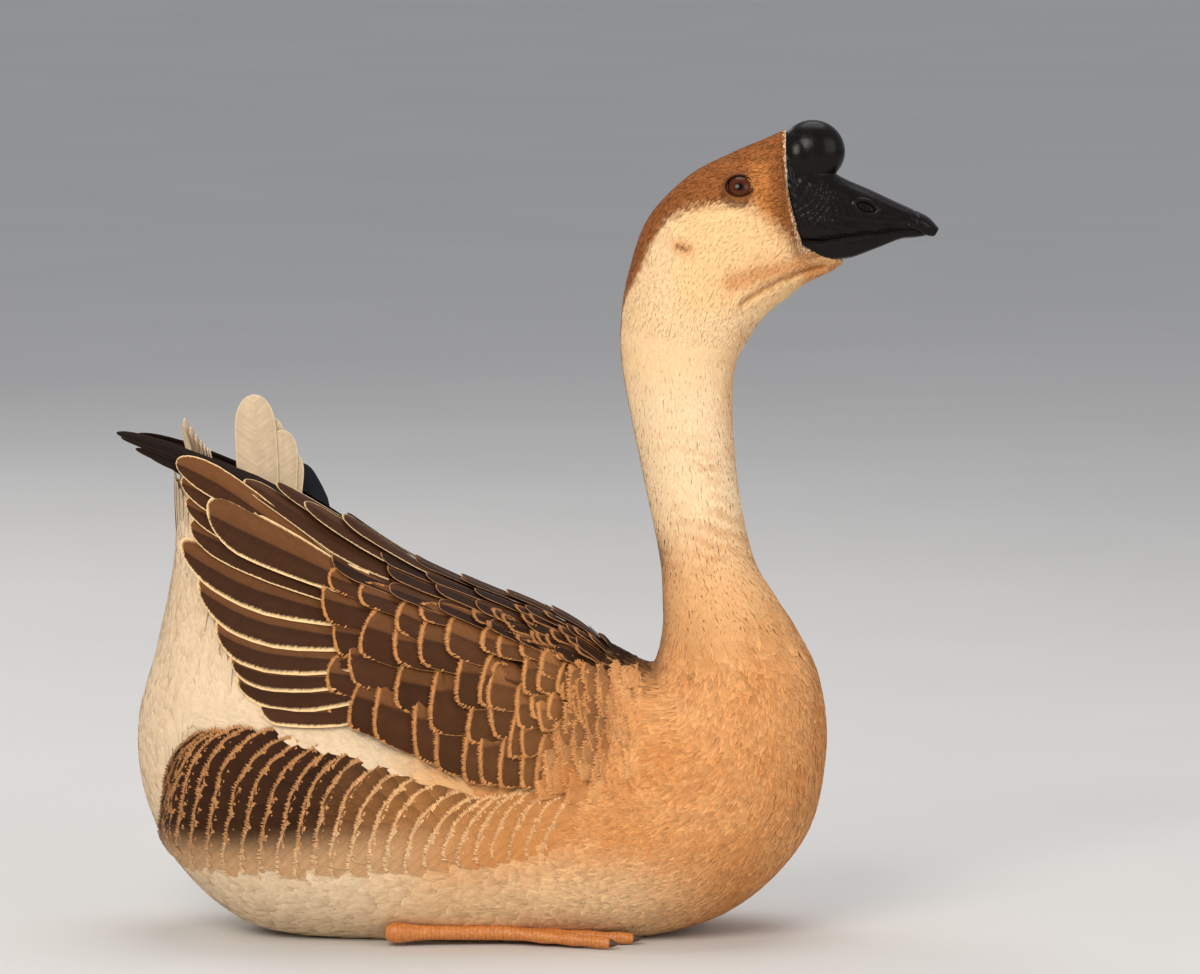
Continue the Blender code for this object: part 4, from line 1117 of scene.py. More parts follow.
def flank_feather(vanes, project, side, x, z, ahead, chance, looks, sheet, high, reach, size=1.0):
    """A broad feather on the side, its tip at (x, z) in the side view and pointing along ahead."""
    length = FLANK_LENGTH * size
    f = FLANK_STATIONS[:, None]
    u = FLANK_COLUMNS[None, :]
    across = np.array((ahead[1], -ahead[0]))
    width = FLANK_WIDTH * size * chance.uniform(0.85, 1.15)
    half = vane_half_width(f, width, 0.7, FLANK_BLUNT, 3.0)

    def place(forward, sideways):
        """The side view of places in the feather's own plane."""
        return (x + ahead[0] * forward + across[0] * sideways, z + ahead[1] * forward + across[1] * sideways)

    px, pz = place((f - 1) * length - 0.06 * width * (u * u), half * u)
    height = -0.4 + (high + 1.0) * f ** 0.8 + 0.6 * (1 - u * u) * f
    points = project(side, px, pz, height)
    tint, rim, edge, barbs = vane_looks(half, f, u, length, looks, shaft=1.0, side_rim=0.15)
    foot = 0.95 * smooth(flank_low(px) + 30, flank_low(px) + 4, pz)
    tint = blend(tint, blend(FLANK_FOOT * 0.9, BREAST * 0.97, smooth(-70, 20, px)), foot)
    vanes.add_one(sheet, FLANK_STATIONS, FLANK_COLUMNS, side == FAR, points, tint, rim, edge, barbs)
    count = int(width * 1.3)
    swing = np.linspace(-1.1, 1.1, count) + chance.uniform(-0.04, 0.04, count)
    u = np.sin(swing)
    f = FLANK_BLUNT + (1 - FLANK_BLUNT) * np.clip(1 - u * u, 0, 1) ** 0.33
    barb = chance.uniform(0.25, 1.0, count) * reach
    lean = np.sin(swing) * 0.35 + chance.normal(0, 0.25, count)
    rows = []
    for inward, thick in ((-0.5, 0.5), (0.4, 0.4), (1.0, 0.03)):
        for s in (-1, 1):
            step = barb * inward
            rows.append((width / 2 * u + lean * step + s * thick * 0.8,
                         (f - 1) * length - 0.06 * width * u * u + step))
    sideways, forward = barb_grid(rows, count)
    px, pz = place(forward, sideways)
    points = project(side, px, pz, np.full(px.shape, 0.9 + high))
    vanes.add_plain(points, rim * chance.uniform(0.75, 1.2, (count, 1, 1, 1)), sheet.specks(count))


def flank_bars(vanes, project, side, chance, sheet):
    """Rows of feathers whose fringed tips make long arcs, thin and upright at the back."""
    start = -190.0
    while start < FLANK_FRONT:
        top = flank_top(start)
        front = smooth(-90, -20, start)
        drop = 1.0 + chance.uniform(0, 3)
        shade = chance.uniform(0.88, 1.12)
        while top - drop > flank_low(start) - 2:
            run = bar_shift(start, drop + 0.5) - bar_shift(start, drop - 0.5)
            ahead = unit(np.array((-1.0, run)))
            x = start - bar_shift(start, drop) + chance.uniform(-0.8, 0.8)
            z = top - drop
            low = 0.9 * smooth(flank_low(start) + 28, flank_low(start) + 4, z)
            fade = smooth(-20, 45, start)
            rear = smooth(-188, -152, start)
            light = blend(FLANK_DARK * 1.4, BREAST * 0.7, front * 0.8)
            dark = blend(FLANK_DARK, BREAST * 0.5, front * 0.7)
            rim = blend(blend(FLANK_FRINGE, BREAST_PALE, front), BELLY, low)
            light = blend(light, BREAST * 0.92, fade)
            dark = blend(dark, BREAST * 0.8, fade)
            rim = blend(blend(rim, BREAST_PALE * 0.95, fade), FLANK_DARK * 2.5, 0.6 * (1 - rear))
            looks = (light, dark, rim, 0.7, shade)
            sunk = max(smooth(20, 70, start), smooth(66, 50, z))
            high = SKIN_DEPTH + 0.9 + chance.uniform(0, 0.4) - 2.0 * sunk * chance.uniform(0.4, 1.0)
            if x > -197:
                flank_feather(vanes, project, side, x, z, ahead, chance, looks, sheet, high, 1.3 + 1.2 * rear)
            drop += FLANK_STEP / math.hypot(1.0, run) * chance.uniform(0.85, 1.15)
        start += 5.5 + 5.0 * smooth(-185, -140, start) + chance.uniform(-0.8, 0.8)


def shoulder_rows(vanes, project, side, chance, sheet):
    """The soft fringed feathers of the breast that lap over the wing's front."""
    def lap(side, x, z, height):
        return project(side, x, z, height, True)

    def skin_tint(x, z):
        """The body's own colour where a feather with its tip near here has its middle."""
        here = lap(side, np.array((x,)), np.array((float(z),)), 0.0)
        return markings(here, np.full(1, math.pi / 2))[0]

    def feather(x, z, slope, looks, high, size):
        ahead = unit(np.array((-1.0, slope)))
        flank_feather(vanes, lap, side, x, z, ahead, chance, looks, sheet, high, 2.6, size)

    for column in range(9):
        for row in range(8):
            x = 46 + 6.5 * column + chance.uniform(-3, 3) + 0.25 * (9 * row - 30)
            z = 101 + 8.5 * row + chance.uniform(-2.5, 2.5) + 4.5 * (column % 2)
            if z > 168 - 0.7 * max(0, x - 78) or x > chance.uniform(76, 106):
                continue
            brown = 0.7 * smooth(90, 58, x) * smooth(105, 140, z)
            own_tint = skin_tint(x + 12.0, z)
            tint = blend(own_tint * 0.95, COVERT_LIGHT, brown)
            rim = blend(own_tint * 1.1, COVERT_RIM, brown)
            looks = (tint, tint * 0.92, rim, 1.1, chance.uniform(0.92, 1.06))
            slope = chance.uniform(-0.35, 0.1)
            high = SKIN_DEPTH + 0.3 - 2.0 * smooth(76, 98, x)
            feather(x, z, slope, looks, high, chance.uniform(0.6, 0.85))
    for z in np.arange(104, 166, 5.0):
        for x in np.arange(80, 106, 5.5):
            px = x + chance.uniform(-3, 3)
            pz = z + chance.uniform(-2.5, 2.5)
            tint = skin_tint(px + 8.0, pz) * chance.uniform(0.96, 1.06)
            looks = (tint, tint * 0.97, tint * 1.06, 1.0, 1.0)
            slope = chance.uniform(-0.5, 0.1)
            high = SKIN_DEPTH + 0.2 - 1.6 * smooth(90, 108, px)
            feather(px, pz, slope, looks, high, chance.uniform(0.4, 0.6))


# The stripe's upper end: z at each distance behind the bird's own x of 0.
STRIPE_X = (2, 30, 47, 71, 100, 128, 152)
STRIPE_Z = (98, 111, 118, 128, 136, 143, 146)


STRIPE_TUFTS = 420
STRIPE_STATIONS = (0, 0.3, 0.6, 0.85, 1.0)
STRIPE_COLUMNS = (-1, -0.5, 0, 0.5, 1.0)


def stripe_tufts(project, side, chance):
    """The soft white tufts between the barred flank and the wing."""
    stripe = Vanes()
    along = chance.uniform(0, 1, STRIPE_TUFTS)
    rise = chance.uniform(-0.5, 0.5, STRIPE_TUFTS)
    x = -2 - 150 * along
    z = np.interp(-x, STRIPE_X, STRIPE_Z) + rise * (4 + 14 * along)
    drop = FAR_WING_DROP * np.maximum(0, FAR_DROP_START - x) * (side == FAR)
    z = np.minimum(z, wing_low_edge(x) - 1.4 * drop + 3 - 9 * smooth(0.5, 0.9, along))
    f = np.array(STRIPE_STATIONS)[None, :, None]
    u = np.array(STRIPE_COLUMNS)[None, None, :]
    length = chance.uniform(20, 30, STRIPE_TUFTS)[:, None, None]
    turn = (np.radians(chance.normal(153, 9, STRIPE_TUFTS)) + 0.3 * along)[:, None, None]
    half = vane_half_width(f, 7.0, 0.4, 0.5) * (0.4 + 0.6 * smooth(0, 0.3, along))[:, None, None]
    step = f * length
    px = x[:, None, None] + np.cos(turn) * step + np.sin(turn) * half * u
    pz = z[:, None, None] + np.sin(turn) * step - np.cos(turn) * half * u
    sunk = 1 - 0.7 * smooth(0.5, 0.85, along)[:, None, None]
    points = project(side, px, pz, (2.0 + 2.2 * f) * sunk + 0.4 * (1 - u * u))
    tint = blend(BREAST_PALE, WHITE, smooth(0.0, 0.3, along))[:, None, None, :]
    tint = tint * chance.uniform(0.88, 1.02, (STRIPE_TUFTS, 1, 1, 1))
    barbs = np.stack(np.broadcast_arrays(half * u, step), -1)
    stripe.add(points, tint, tint, NO_RIM, barbs, patch_places(along, 0.5 + rise * 0.4, f[0, :, 0], u[0, 0]))
    return stripe


def make_flanks(skin, material, coat_material):
    """The barred flank feathers, those over the wing's front and the white stripe along the wing."""
    project = side_projector(skin)
    for side, word in SIDES:
        chance = np.random.default_rng(FLANK_SEED)
        bars = Vanes()
        flank_bars(bars, project, side, chance, Sheet(FLANK_CELLS))
        bars.build("flank_" + word, material, "belly_down")
        shoulder = Vanes()
        shoulder_rows(shoulder, project, side, chance, Sheet(SHOULDER_CELLS))
        shoulder.build("shoulder_" + word, material, "breast_down")
        stripe_tufts(project, side, chance).build("stripe_" + word, coat_material, "belly_down")


def feed(tree, socket, value):
    """Gives an input a value, or links another node's output to it."""
    if isinstance(value, bpy.types.NodeSocket):
        tree.links.new(value, socket)
    else:
        socket.default_value = value


def node(tree, kind, **values):
    """A shader node with its properties and inputs."""
    made = tree.nodes.new("ShaderNode" + kind)
    for name, value in values.items():
        if hasattr(made, name):
            setattr(made, name, value)
        else:
            feed(tree, made.inputs[name], value)
    return made


def new_material(name):
    material = bpy.data.materials.new(name)
    material.use_nodes = True
    tree = material.node_tree
    return material, tree, tree.nodes["Principled BSDF"]


def dress(tree, shader, colour, roughness, specular=0.5):
    """The shader's colour, roughness and shine."""
    for name, value in (("Base Color", colour), ("Roughness", roughness), ("Specular IOR Level", specular)):
        feed(tree, shader.inputs[name], value)


def operate(tree, kind, operation, values):
    """A node that works on its inputs in their order."""
    made = node(tree, kind, operation=operation)
    for socket, value in zip(made.inputs, values):
        feed(tree, socket, value)
    return made


def maths(tree, operation, *values):
    return operate(tree, "Math", operation, values).outputs[0]


def times(tree, first, second):
    return maths(tree, "MULTIPLY", first, second)


def limited(tree, first, second):
    """A product kept within 0 and 1."""
    made = operate(tree, "Math", "MULTIPLY", (first, second))
    made.use_clamp = True
    return made.outputs[0]


def round_one(tree, value, spread):
    """A value of 0 to 1 as a factor that swings by spread round 1."""
    return maths(tree, "ADD", times(tree, value, spread), 1.0 - spread * 0.5)


def mix_colour(tree, share, first, second, kind="MIX"):
    made = node(tree, "Mix", data_type="RGBA", blend_type=kind)
    for name, value in (("Factor", share), ("A", first), ("B", second)):
        feed(tree, made.inputs[name], value)
    return made.outputs["Result"]


def noise(tree, vector, scale, detail=3.0):
    return node(tree, "TexNoise", Scale=scale, Detail=detail, Vector=vector).outputs["Fac"]


def cells(tree, vector, scale):
    return node(tree, "TexVoronoi", Scale=scale, Vector=vector).outputs["Distance"]


def stretched(tree, vector, scale):
    """Places drawn out along their first axis."""
    return node(tree, "Mapping", Scale=(scale, 1.0, 1.0), Vector=vector).outputs["Vector"]


def carried(tree, name, output):
    """What the mesh carries under this name."""
    return node(tree, "Attribute", attribute_name=name).outputs[output]


def object_place(tree):
    return tree.nodes.new("ShaderNodeTexCoord").outputs["Object"]


def place_x(tree, place):
    return node(tree, "SeparateXYZ", Vector=place).outputs["X"]


def bump(tree, height, strength, distance, shader):
    made = node(tree, "Bump", Strength=strength, Distance=distance, Height=height)
    tree.links.new(made.outputs["Normal"], shader.inputs["Normal"])


def plumage_material(name, roughness, streak, wander, depth):
    """Barbs, a pale rim with loose barbs and soft variation over the markings the vanes carry."""
    material, tree, shader = new_material(name)
    barbs = stretched(tree, node(tree, "UVMap", uv_map="Barbs").outputs["UV"], 0.12)
    lines = noise(tree, barbs, 2.4, 4.0)
    loose = noise(tree, barbs, 1.3, 2.0)
    clumps = noise(tree, barbs, 0.45)
    patches = noise(tree, object_place(tree), 160.0)
    ragged = times(tree, maths(tree, "SUBTRACT", loose, 0.5), 2.4)
    rough_edge = maths(tree, "ADD", carried(tree, "edge", "Fac"), ragged)
    share = limited(tree, maths(tree, "SUBTRACT", 1.6, rough_edge), 0.95)
    colour = mix_colour(tree, share, carried(tree, "tint", "Color"), carried(tree, "rim", "Color"))
    amount = times(tree, round_one(tree, lines, streak), round_one(tree, patches, wander))
    amount = times(tree, amount, round_one(tree, clumps, streak))
    grey = node(tree, "CombineColor", Red=amount, Green=amount, Blue=amount).outputs["Color"]
    dress(tree, shader, mix_colour(tree, 1.0, colour, grey, "MULTIPLY"), roughness, 0.1)
    bump(tree, lines, depth, 0.0004, shader)
    return material


def bill_material():
    """Black horn, finely pitted, with warts near the head."""
    material, tree, shader = new_material("bill_horn_look")
    place = object_place(tree)
    base = limited(tree, maths(tree, "SUBTRACT", 0.196, place_x(tree, place)), 28.0)
    drawn = stretched(tree, place, 0.28)
    warts = times(tree, times(tree, cells(tree, drawn, 520.0), base), 0.25)
    pits = times(tree, noise(tree, place, 650.0, 2.0), 0.35)
    grain = times(tree, noise(tree, drawn, 900.0, 4.0), 0.25)
    height = maths(tree, "ADD", maths(tree, "ADD", warts, pits), grain)
    wear = noise(tree, place, 220.0, 4.0)
    colour = mix_colour(tree, wear, (0.002, 0.0015, 0.0015, 1), (0.008, 0.005, 0.004, 1))
    dress(tree, shader, colour, maths(tree, "ADD", times(tree, wear, 0.2), 0.16), 0.17)
    bump(tree, height, 0.35, 0.0005, shader)
    return material


PUPIL = (0.002, 0.001, 0.001, 1)
# The iris from the pupil to its dark border. Each 0.1 is a millimetre from the eye's axis.
IRIS = ((0.18, PUPIL), (0.23, (0.045, 0.011, 0.003, 1)), (0.45, (0.09, 0.022, 0.005, 1)),
        (0.66, (0.06, 0.014, 0.004, 1)), (0.74, (0.004, 0.002, 0.001, 1)))


def eye_material(name, axis, centre):
    """A dark pupil in a warm brown iris, by the distance from the eye's own axis."""
    material, tree, shader = new_material(name)
    middle = operate(tree, "VectorMath", "SUBTRACT", (object_place(tree), centre)).outputs[0]
    flat = operate(tree, "VectorMath", "CROSS_PRODUCT", (middle, axis)).outputs[0]
    far = operate(tree, "VectorMath", "LENGTH", (flat,)).outputs["Value"]
    ramp = node(tree, "ValToRGB", Fac=times(tree, far, 100.0))
    stops = ramp.color_ramp.elements
    for stop in stops:
        stop.color = PUPIL
    for position, colour in IRIS:
        stops.new(position).color = colour
    fleck = mix_colour(tree, noise(tree, flat, 700.0, 4.0), (0.4, 0.4, 0.4, 1), (1.5, 1.4, 1.3, 1))
    dress(tree, shader, mix_colour(tree, 0.35, ramp.outputs["Color"], fleck, "MULTIPLY"), 0.08, 0.2)
    return material


SCUTE_STEP = 2.6
SCUTE_HIGH = 0.16
# How fast the lines between the scutes follow each other, in radians a metre.
SCUTE_WAVE = 1208.0


def foot_material():
    """Orange skin with small scales, dark lines between the scutes, and dark claws."""
    material, tree, shader = new_material("foot_skin_look")
    place = object_place(tree)
    scales = cells(tree, place, 420.0)
    colour = mix_colour(tree, noise(tree, place, 90.0), (0.62, 0.20, 0.04, 1), (0.80, 0.33, 0.08, 1))
    colour = mix_colour(tree, limited(tree, scales, 0.8), colour, (0.42, 0.13, 0.03, 1))
    wave = maths(tree, "SINE", times(tree, place_x(tree, place), SCUTE_WAVE))
    line = limited(tree, maths(tree, "SUBTRACT", 0.45, maths(tree, "ABSOLUTE", wave)), 1.1)
    colour = mix_colour(tree, line, colour, (0.34, 0.10, 0.03, 1))
    colour = mix_colour(tree, carried(tree, "claw", "Fac"), colour, (0.07, 0.035, 0.02, 1))
    dress(tree, shader, colour, 0.45)
    bump(tree, times(tree, scales, -1.0), 0.6, 0.0006, shader)
    return material


def lid_material():
    """Bare, finely grained skin."""
    material, tree, shader = new_material("lid_look")
    fine = noise(tree, object_place(tree), 1500.0)
    grain = mix_colour(tree, fine, (0.5, 0.5, 0.5, 1), (1.4, 1.4, 1.4, 1))
    colour = mix_colour(tree, 0.5, carried(tree, "tint", "Color"), grain, "MULTIPLY")
    dress(tree, shader, colour, 0.7, 0.1)
    bump(tree, fine, 0.4, 0.0003, shader)
    return material


def floor_material():
    """A matt pale surface whose colour wanders softly."""
    material, tree, shader = new_material("floor_pale")
    share = noise(tree, object_place(tree), 3.0)
    dress(tree, shader, mix_colour(tree, share, (0.62, 0.61, 0.59, 1), (0.68, 0.67, 0.65, 1)), 0.9)
    bump(tree, share, 0.2, 0.0003, shader)
    return material


# The bill's stations: top x, z, bottom x, z and half width.
BILL_UPPER = np.array((
    (181, 491, 190, 434.0, 14.5),
    (203, 487, 208, 433.3, 14.8),
    (214, 479, 219, 434.8, 14.3),
    (226, 471.5, 231, 436.5, 13.6),
    (243, 464, 246, 438.6, 12.6),
    (259, 456.5, 260, 440.4, 11.4),
    (270, 451.5, 270, 440.0, 10.2),
    (279, 447, 277.5, 436.4, 8.2),
    (285.5, 440, 282.5, 435.3, 4.0),
))
BILL_LOWER = np.array((
    (192, 437.0, 194, 422.5, 13.6),
    (208, 434.6, 211, 421.0, 13.4),
    (219, 436.0, 222, 420.5, 13.0),
    (231, 437.8, 232, 421.8, 12.2),
    (246, 439.9, 247, 427.5, 11.0),
    (260, 441.4, 261, 433.0, 9.6),
    (271, 440.5, 271, 434.2, 7.2),
    (278, 438.5, 278, 435.4, 4.0),
))
KNOB_CENTRE = (207, 0, 488)
KNOB_RADII = (20, 14.5, 19.5)
KNOB_ROOT_CENTRE = (199, 0, 485)
KNOB_ROOT_RADII = (14, 14.8, 18.5)
BASE_CENTRE = (193.5, 0, 461.5)
BASE_RADII = (6.5, 16.4, 37)
BASE_TILT = -8.4
NOSTRIL = (240, 454.5)
NOSTRIL_TILT = 22
BILL_CREASE = ((206, 452), (226, 446), (250, 443.5), (266, 444))
# The row of small ridges along the bill's edge: z and y at places along x.
LAMELLAE = 30
# A tiny face inside the bill that the ridges are added to.
LAMELLAE_SEED = ((230, 0, 440), (230.1, 0, 440), (230, 0.1, 440))
LAMELLAE_Z = ((208, 434.2), (219, 435.6), (231, 437.2), (246, 439.2), (260, 441.0), (270, 440.8))
LAMELLAE_Y = ((208, 14.2), (231, 12.9), (246, 11.9), (260, 10.8), (270, 9.6))


BILL_ROWS = 60
BILL_AROUND = 40


def bill_loft(name, table, above, below):
    """A closed form through the bill's stations, with its squareness above and below its middle."""
    t = np.linspace(0, len(table) - 1, BILL_ROWS)
    turn = FULL_TURN * (np.arange(BILL_AROUND) + 0.5) / BILL_AROUND
    c = np.cos(turn)[None]
    s = np.sin(turn)[None]
    tx, tz, bx, bz, width = (v[:, None] for v in np.moveaxis(spline(table, t), -1, 0))
    power = 2 / np.where(c > 0, above, below)
    rise = (np.sign(c) * np.abs(c) ** power + 1) / 2
    y = width * np.sign(s) * np.abs(s) ** power
    points = np.stack([bx + (tx - bx) * rise, y, bz + (tz - bz) * rise], -1).reshape(-1, 3)
    made = new_object(name, points, grid_faces(BILL_ROWS, BILL_AROUND, True))
    close_ends(made, BILL_AROUND, True)
    return made


def apply_modifiers(obj):
    bpy.context.view_layer.update()
    graph = bpy.context.evaluated_depsgraph_get()
    mesh = bpy.data.meshes.new_from_object(obj.evaluated_get(graph))
    obj.modifiers.clear()
    obj.data = mesh


def remesh(obj, voxel, rounds):
    """Makes one smooth surface of everything in obj."""
    change = obj.modifiers.new("voxels", "REMESH")
    change.mode = "VOXEL"
    change.voxel_size = voxel * MM
    soften = obj.modifiers.new("soften", "SMOOTH")
    soften.iterations = rounds
    soften.factor = 0.5
    apply_modifiers(obj)
    obj.data.polygons.foreach_set("use_smooth", np.full(len(obj.data.polygons), True))


def add_ball(obj, centre, radii, tilt=0.0):
    """Adds an ellipsoid to obj's mesh."""
    bm = bmesh.new()
    bm.from_mesh(obj.data)
    made = bmesh.ops.create_uvsphere(bm, u_segments=32, v_segments=20, radius=1.0)
    place = Matrix.Translation(Vector(metres(centre))) @ Matrix.Rotation(math.radians(tilt), 4, "Y")
    place = place @ Matrix.Diagonal((*[r * MM for r in radii], 1))
    bmesh.ops.transform(bm, matrix=place, verts=made["verts"])
    bm.to_mesh(obj.data)
    bm.free()


def sculpt(obj, change):
    """Moves every vertex of obj along its normal by change(points) millimetres."""
    count = len(obj.data.vertices)
    co = np.zeros(count * 3, np.float32)
    normals = np.zeros(count * 3, np.float32)
    obj.data.vertices.foreach_get("co", co)
    obj.data.vertices.foreach_get("normal", normals)
    points = co.reshape(-1, 3) / MM + (CENTRE_X, 0, 0)
    moved = points + normals.reshape(-1, 3) * change(points)[:, None]
    obj.data.vertices.foreach_set("co", metres(moved).astype(np.float32).ravel())
    obj.data.update()


def upper_bill_detail(points):
    """The nostril with its raised rim, wrinkles at the base, and the nail's step."""
    x, y, z = points.T
    tilt = math.radians(NOSTRIL_TILT)
    dx = x - NOSTRIL[0]
    dz = z - NOSTRIL[1]
    along = (dx * math.cos(tilt) - dz * math.sin(tilt)) / 7.0
    across = (dx * math.sin(tilt) + dz * math.cos(tilt)) / 3.6
    oval = np.hypot(along, across)
    push = -2.4 * smooth(1.0, 0.55, oval) + 0.45 * np.exp(-(((oval - 1.12) / 0.16) ** 2))
    wrinkle = np.sin(x * 1.1 + 2.2 * np.sin(z * 0.23) + 1.3 * np.sin(y * 0.5))
    wrinkle = wrinkle * np.sin(z * 0.9 + 1.4 * np.sin(x * 0.31))
    base = smooth(238, 212, x) * smooth(438, 446, z)
    push = push + 0.3 * wrinkle * base * smooth(474, 466, z + 0.25 * (x - 205))
    long_folds = np.sin((z - 434 + 0.16 * (x - 205)) * 1.7 + 0.8 * np.sin(x * 0.09))
    push = push + 0.18 * long_folds * smooth(214, 226, x) * smooth(268, 250, x) * smooth(452, 446, z)
    crease = line_distance(x, z, BILL_CREASE)
    push = push - 0.7 * np.exp(-((crease / 1.1) ** 2)) * smooth(3.0, 6.0, np.abs(y))
    nail = np.abs(x - 270 - 0.25 * np.abs(y))
    push = push - 0.35 * np.exp(-((nail / 0.8) ** 2)) * smooth(440, 446, z)
    return push


def lower_bill_detail(points):
    """Ridges along the lower half of the bill."""
    x, y, z = points.T
    low = np.interp(x, BILL_LOWER[:, 2], BILL_LOWER[:, 3])
    high = np.interp(x, BILL_LOWER[:, 0], BILL_LOWER[:, 1])
    share = (z - low) / np.maximum(high - low, 2.0)
    return 0.45 * np.sin(share * 4 * math.pi) * smooth(268, 250, x) * smooth(4, 8, np.abs(y)) - 0.3


def make_bill(material):
    upper = bill_loft("bill_upper_look", BILL_UPPER, 2.0, 7.0)
    add_ball(upper, KNOB_CENTRE, KNOB_RADII)
    add_ball(upper, KNOB_ROOT_CENTRE, KNOB_ROOT_RADII)
    add_ball(upper, BASE_CENTRE, BASE_RADII, BASE_TILT)
    remesh(upper, 0.8, 5)
    # What the smoothing takes off is given back.
    sculpt(upper, lambda points: np.full(len(points), 0.25))
    soften = upper.modifiers.new("finer", "SUBSURF")
    soften.levels = 1
    apply_modifiers(upper)
    sculpt(upper, upper_bill_detail)
    own(upper, material, ("bill_upper",))
    lower = bill_loft("bill_lower_look", BILL_LOWER, 7.0, 2.4)
    remesh(lower, 0.6, 3)
    sculpt(lower, lower_bill_detail)
    own(lower, material, ("bill_lower",))
    lamellae = new_object("lamellae", LAMELLAE_SEED, ((0, 1, 2),))
    for side, _ in SIDES:
        for x in 212 + 54 * (np.arange(LAMELLAE) / (LAMELLAE - 1)):
            y = np.interp(x, *zip(*LAMELLAE_Y))
            z = np.interp(x, *zip(*LAMELLAE_Z))
            add_ball(lamellae, (x, side * y, z), (0.55, 0.75, 0.9))
    own(lamellae, material)


# The lids' profile round the eye: distance from its axis, distance out from its centre, and darkness.
LID_ROWS = (
    (7.4, 5.3, 1.0),
    (7.6, 6.1, 1.0),
    (7.9, 6.5, 1.0),
    (8.3, 6.45, 0.95),
    (8.7, 6.0, 0.75),
    (9.1, 6.05, 0.4),
    (9.6, 5.7, 0.4),
    (10.1, 5.3, 0.15),
    (10.8, 4.4, 0.1),
    (11.6, 3.2, 0.1),
)
LID_AROUND = 120


def head_way_out(side):
    """The way out of the head at the eye."""
    t, a = np.meshgrid(np.linspace(21, 26.8, 120), np.linspace(0.1, math.pi - 0.1, 90), indexing="ij")
    points, _, _, out = body_frame(t, a)
    best = np.argmin(np.hypot(points[..., 0] - EYE_X, points[..., 2] - EYE_Z))
    return out.reshape(-1, 3)[best] * (1, side, 1)


def make_lid(name, centre, side, material):
    """Wrinkled lids round the eye, in the plane of the head's side."""
    out = head_way_out(side)
    ahead = unit(np.array((1.0, 0, 0)) - out * out[0])
    rise = np.cross(out, ahead)
    rise = rise * math.copysign(1, rise[2])
    turn = FULL_TURN * np.arange(LID_AROUND) / LID_AROUND
    low = np.clip(-np.sin(turn), 0, 1)
    points = []
    tints = []
    for radius, height, dark in LID_ROWS:
        rough = 0.14 * np.sin(turn * 19 + radius * 2.7) * (0.3 + low) * smooth(7.4, 8.2, radius)
        r = (radius + rough)[:, None]
        flat = 0.84 + 0.12 * smooth(8.3, 11.0, radius)
        offset = ahead * r * np.cos(turn)[:, None] * 1.05 + rise * r * np.sin(turn)[:, None] * flat
        proud = 1.0 * np.sin(turn) ** 2 * smooth(11.0, 8.0, radius)
        place = centre + offset + out * (height + rough + proud)[:, None]
        points.append(place)
        skin = blend(CAP_BROWN * 0.85, LORE, 0.5 * low)
        tints.append(blend(skin, CAP_DARK * 0.2, np.full(LID_AROUND, dark)))
    faces = grid_faces(len(LID_ROWS), LID_AROUND, True)
    if side == NEAR:
        faces = faces[:, ::-1]
    lid = new_object(name, np.concatenate(points), faces)
    store_colour(lid, "tint", np.concatenate(tints))
    return own(lid, material)


def make_eyes(lid_material):
    for side, word in SIDES:
        low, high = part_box("eye_" + word)
        centre = (low + high) / 2
        bm = bmesh.new()
        bmesh.ops.create_uvsphere(bm, u_segments=48, v_segments=32, radius=EYE_RADIUS * MM)
        bmesh.ops.transform(bm, matrix=Matrix.Translation(centre), verts=bm.verts)
        eye = object_from(bm, "eye_" + word + "_look")
        axis = unit(head_way_out(side) + (0, 0.5 * side, 0))
        own(eye, eye_material("eye_" + word + "_brown", axis, centre), ("eye_" + word,))
        middle = np.array((centre.x / MM + CENTRE_X, centre.y / MM, centre.z / MM))
        make_lid("lid_" + word, middle, side, lid_material)


LIMB_SIDES = 16
LIMB_STEP = 0.55
FOOT_FLOOR_GAP = 0.15


def limb(bm, points, radii):
    """Adds a round limb with a soft line through the points and scutes across it."""
    points = np.array(points, float)
    radii = np.array(radii, float)
    rough = spline(np.column_stack([points, radii]), np.linspace(0, len(points) - 1, 400))
    run = np.concatenate([(0.0,), np.cumsum(np.linalg.norm(np.diff(rough[:, :3], axis=0), axis=1))])
    even = np.linspace(0, run[-1], max(12, int(run[-1] / LIMB_STEP)))
    path = np.stack([np.interp(even, run, column) for column in rough.T], -1)
    path[:, 3] += SCUTE_HIGH * np.abs(np.sin(math.pi * even / SCUTE_STEP)) * smooth(0, 3, run[-1] - even)
    rings = []
    across = None
    for i, (x, y, z, radius) in enumerate(path):
        before = path[max(i - 1, 0)][:3]
        ahead = Vector(path[min(i + 1, len(path) - 1)][:3] - before).normalized()
        across = ahead.orthogonal() if across is None else across - ahead * across.dot(ahead)
        across.normalize()
        other = ahead.cross(across)
        ring = []
        for k in range(LIMB_SIDES):
            turn = FULL_TURN * k / LIMB_SIDES
            way = across * math.cos(turn) + other * math.sin(turn)
            place = Vector((x, y, z)) + way * max(radius, 0.1)
            place.z = max(place.z, FOOT_FLOOR_GAP)
            ring.append(bm.verts.new(Vector(metres(place))))
        rings.append(ring)
    for one, two in zip(rings, rings[1:]):
        for k in range(LIMB_SIDES):
            after = (k + 1) % LIMB_SIDES
            bm.faces.new((one[k], one[after], two[after], two[k]))
    bm.faces.new(rings[0])
    bm.faces.new(rings[-1])


HEEL = (-52, 69, 8.5)
TOE_ROOT = (16, 63, 7.5)
TOE_TIPS = ((80, 45, 4.2), (94, 64, 4.2), (80, 84, 4.2))
HIND_TOE = (4, 52, 4.5)
CLAW_LENGTH = 6.8
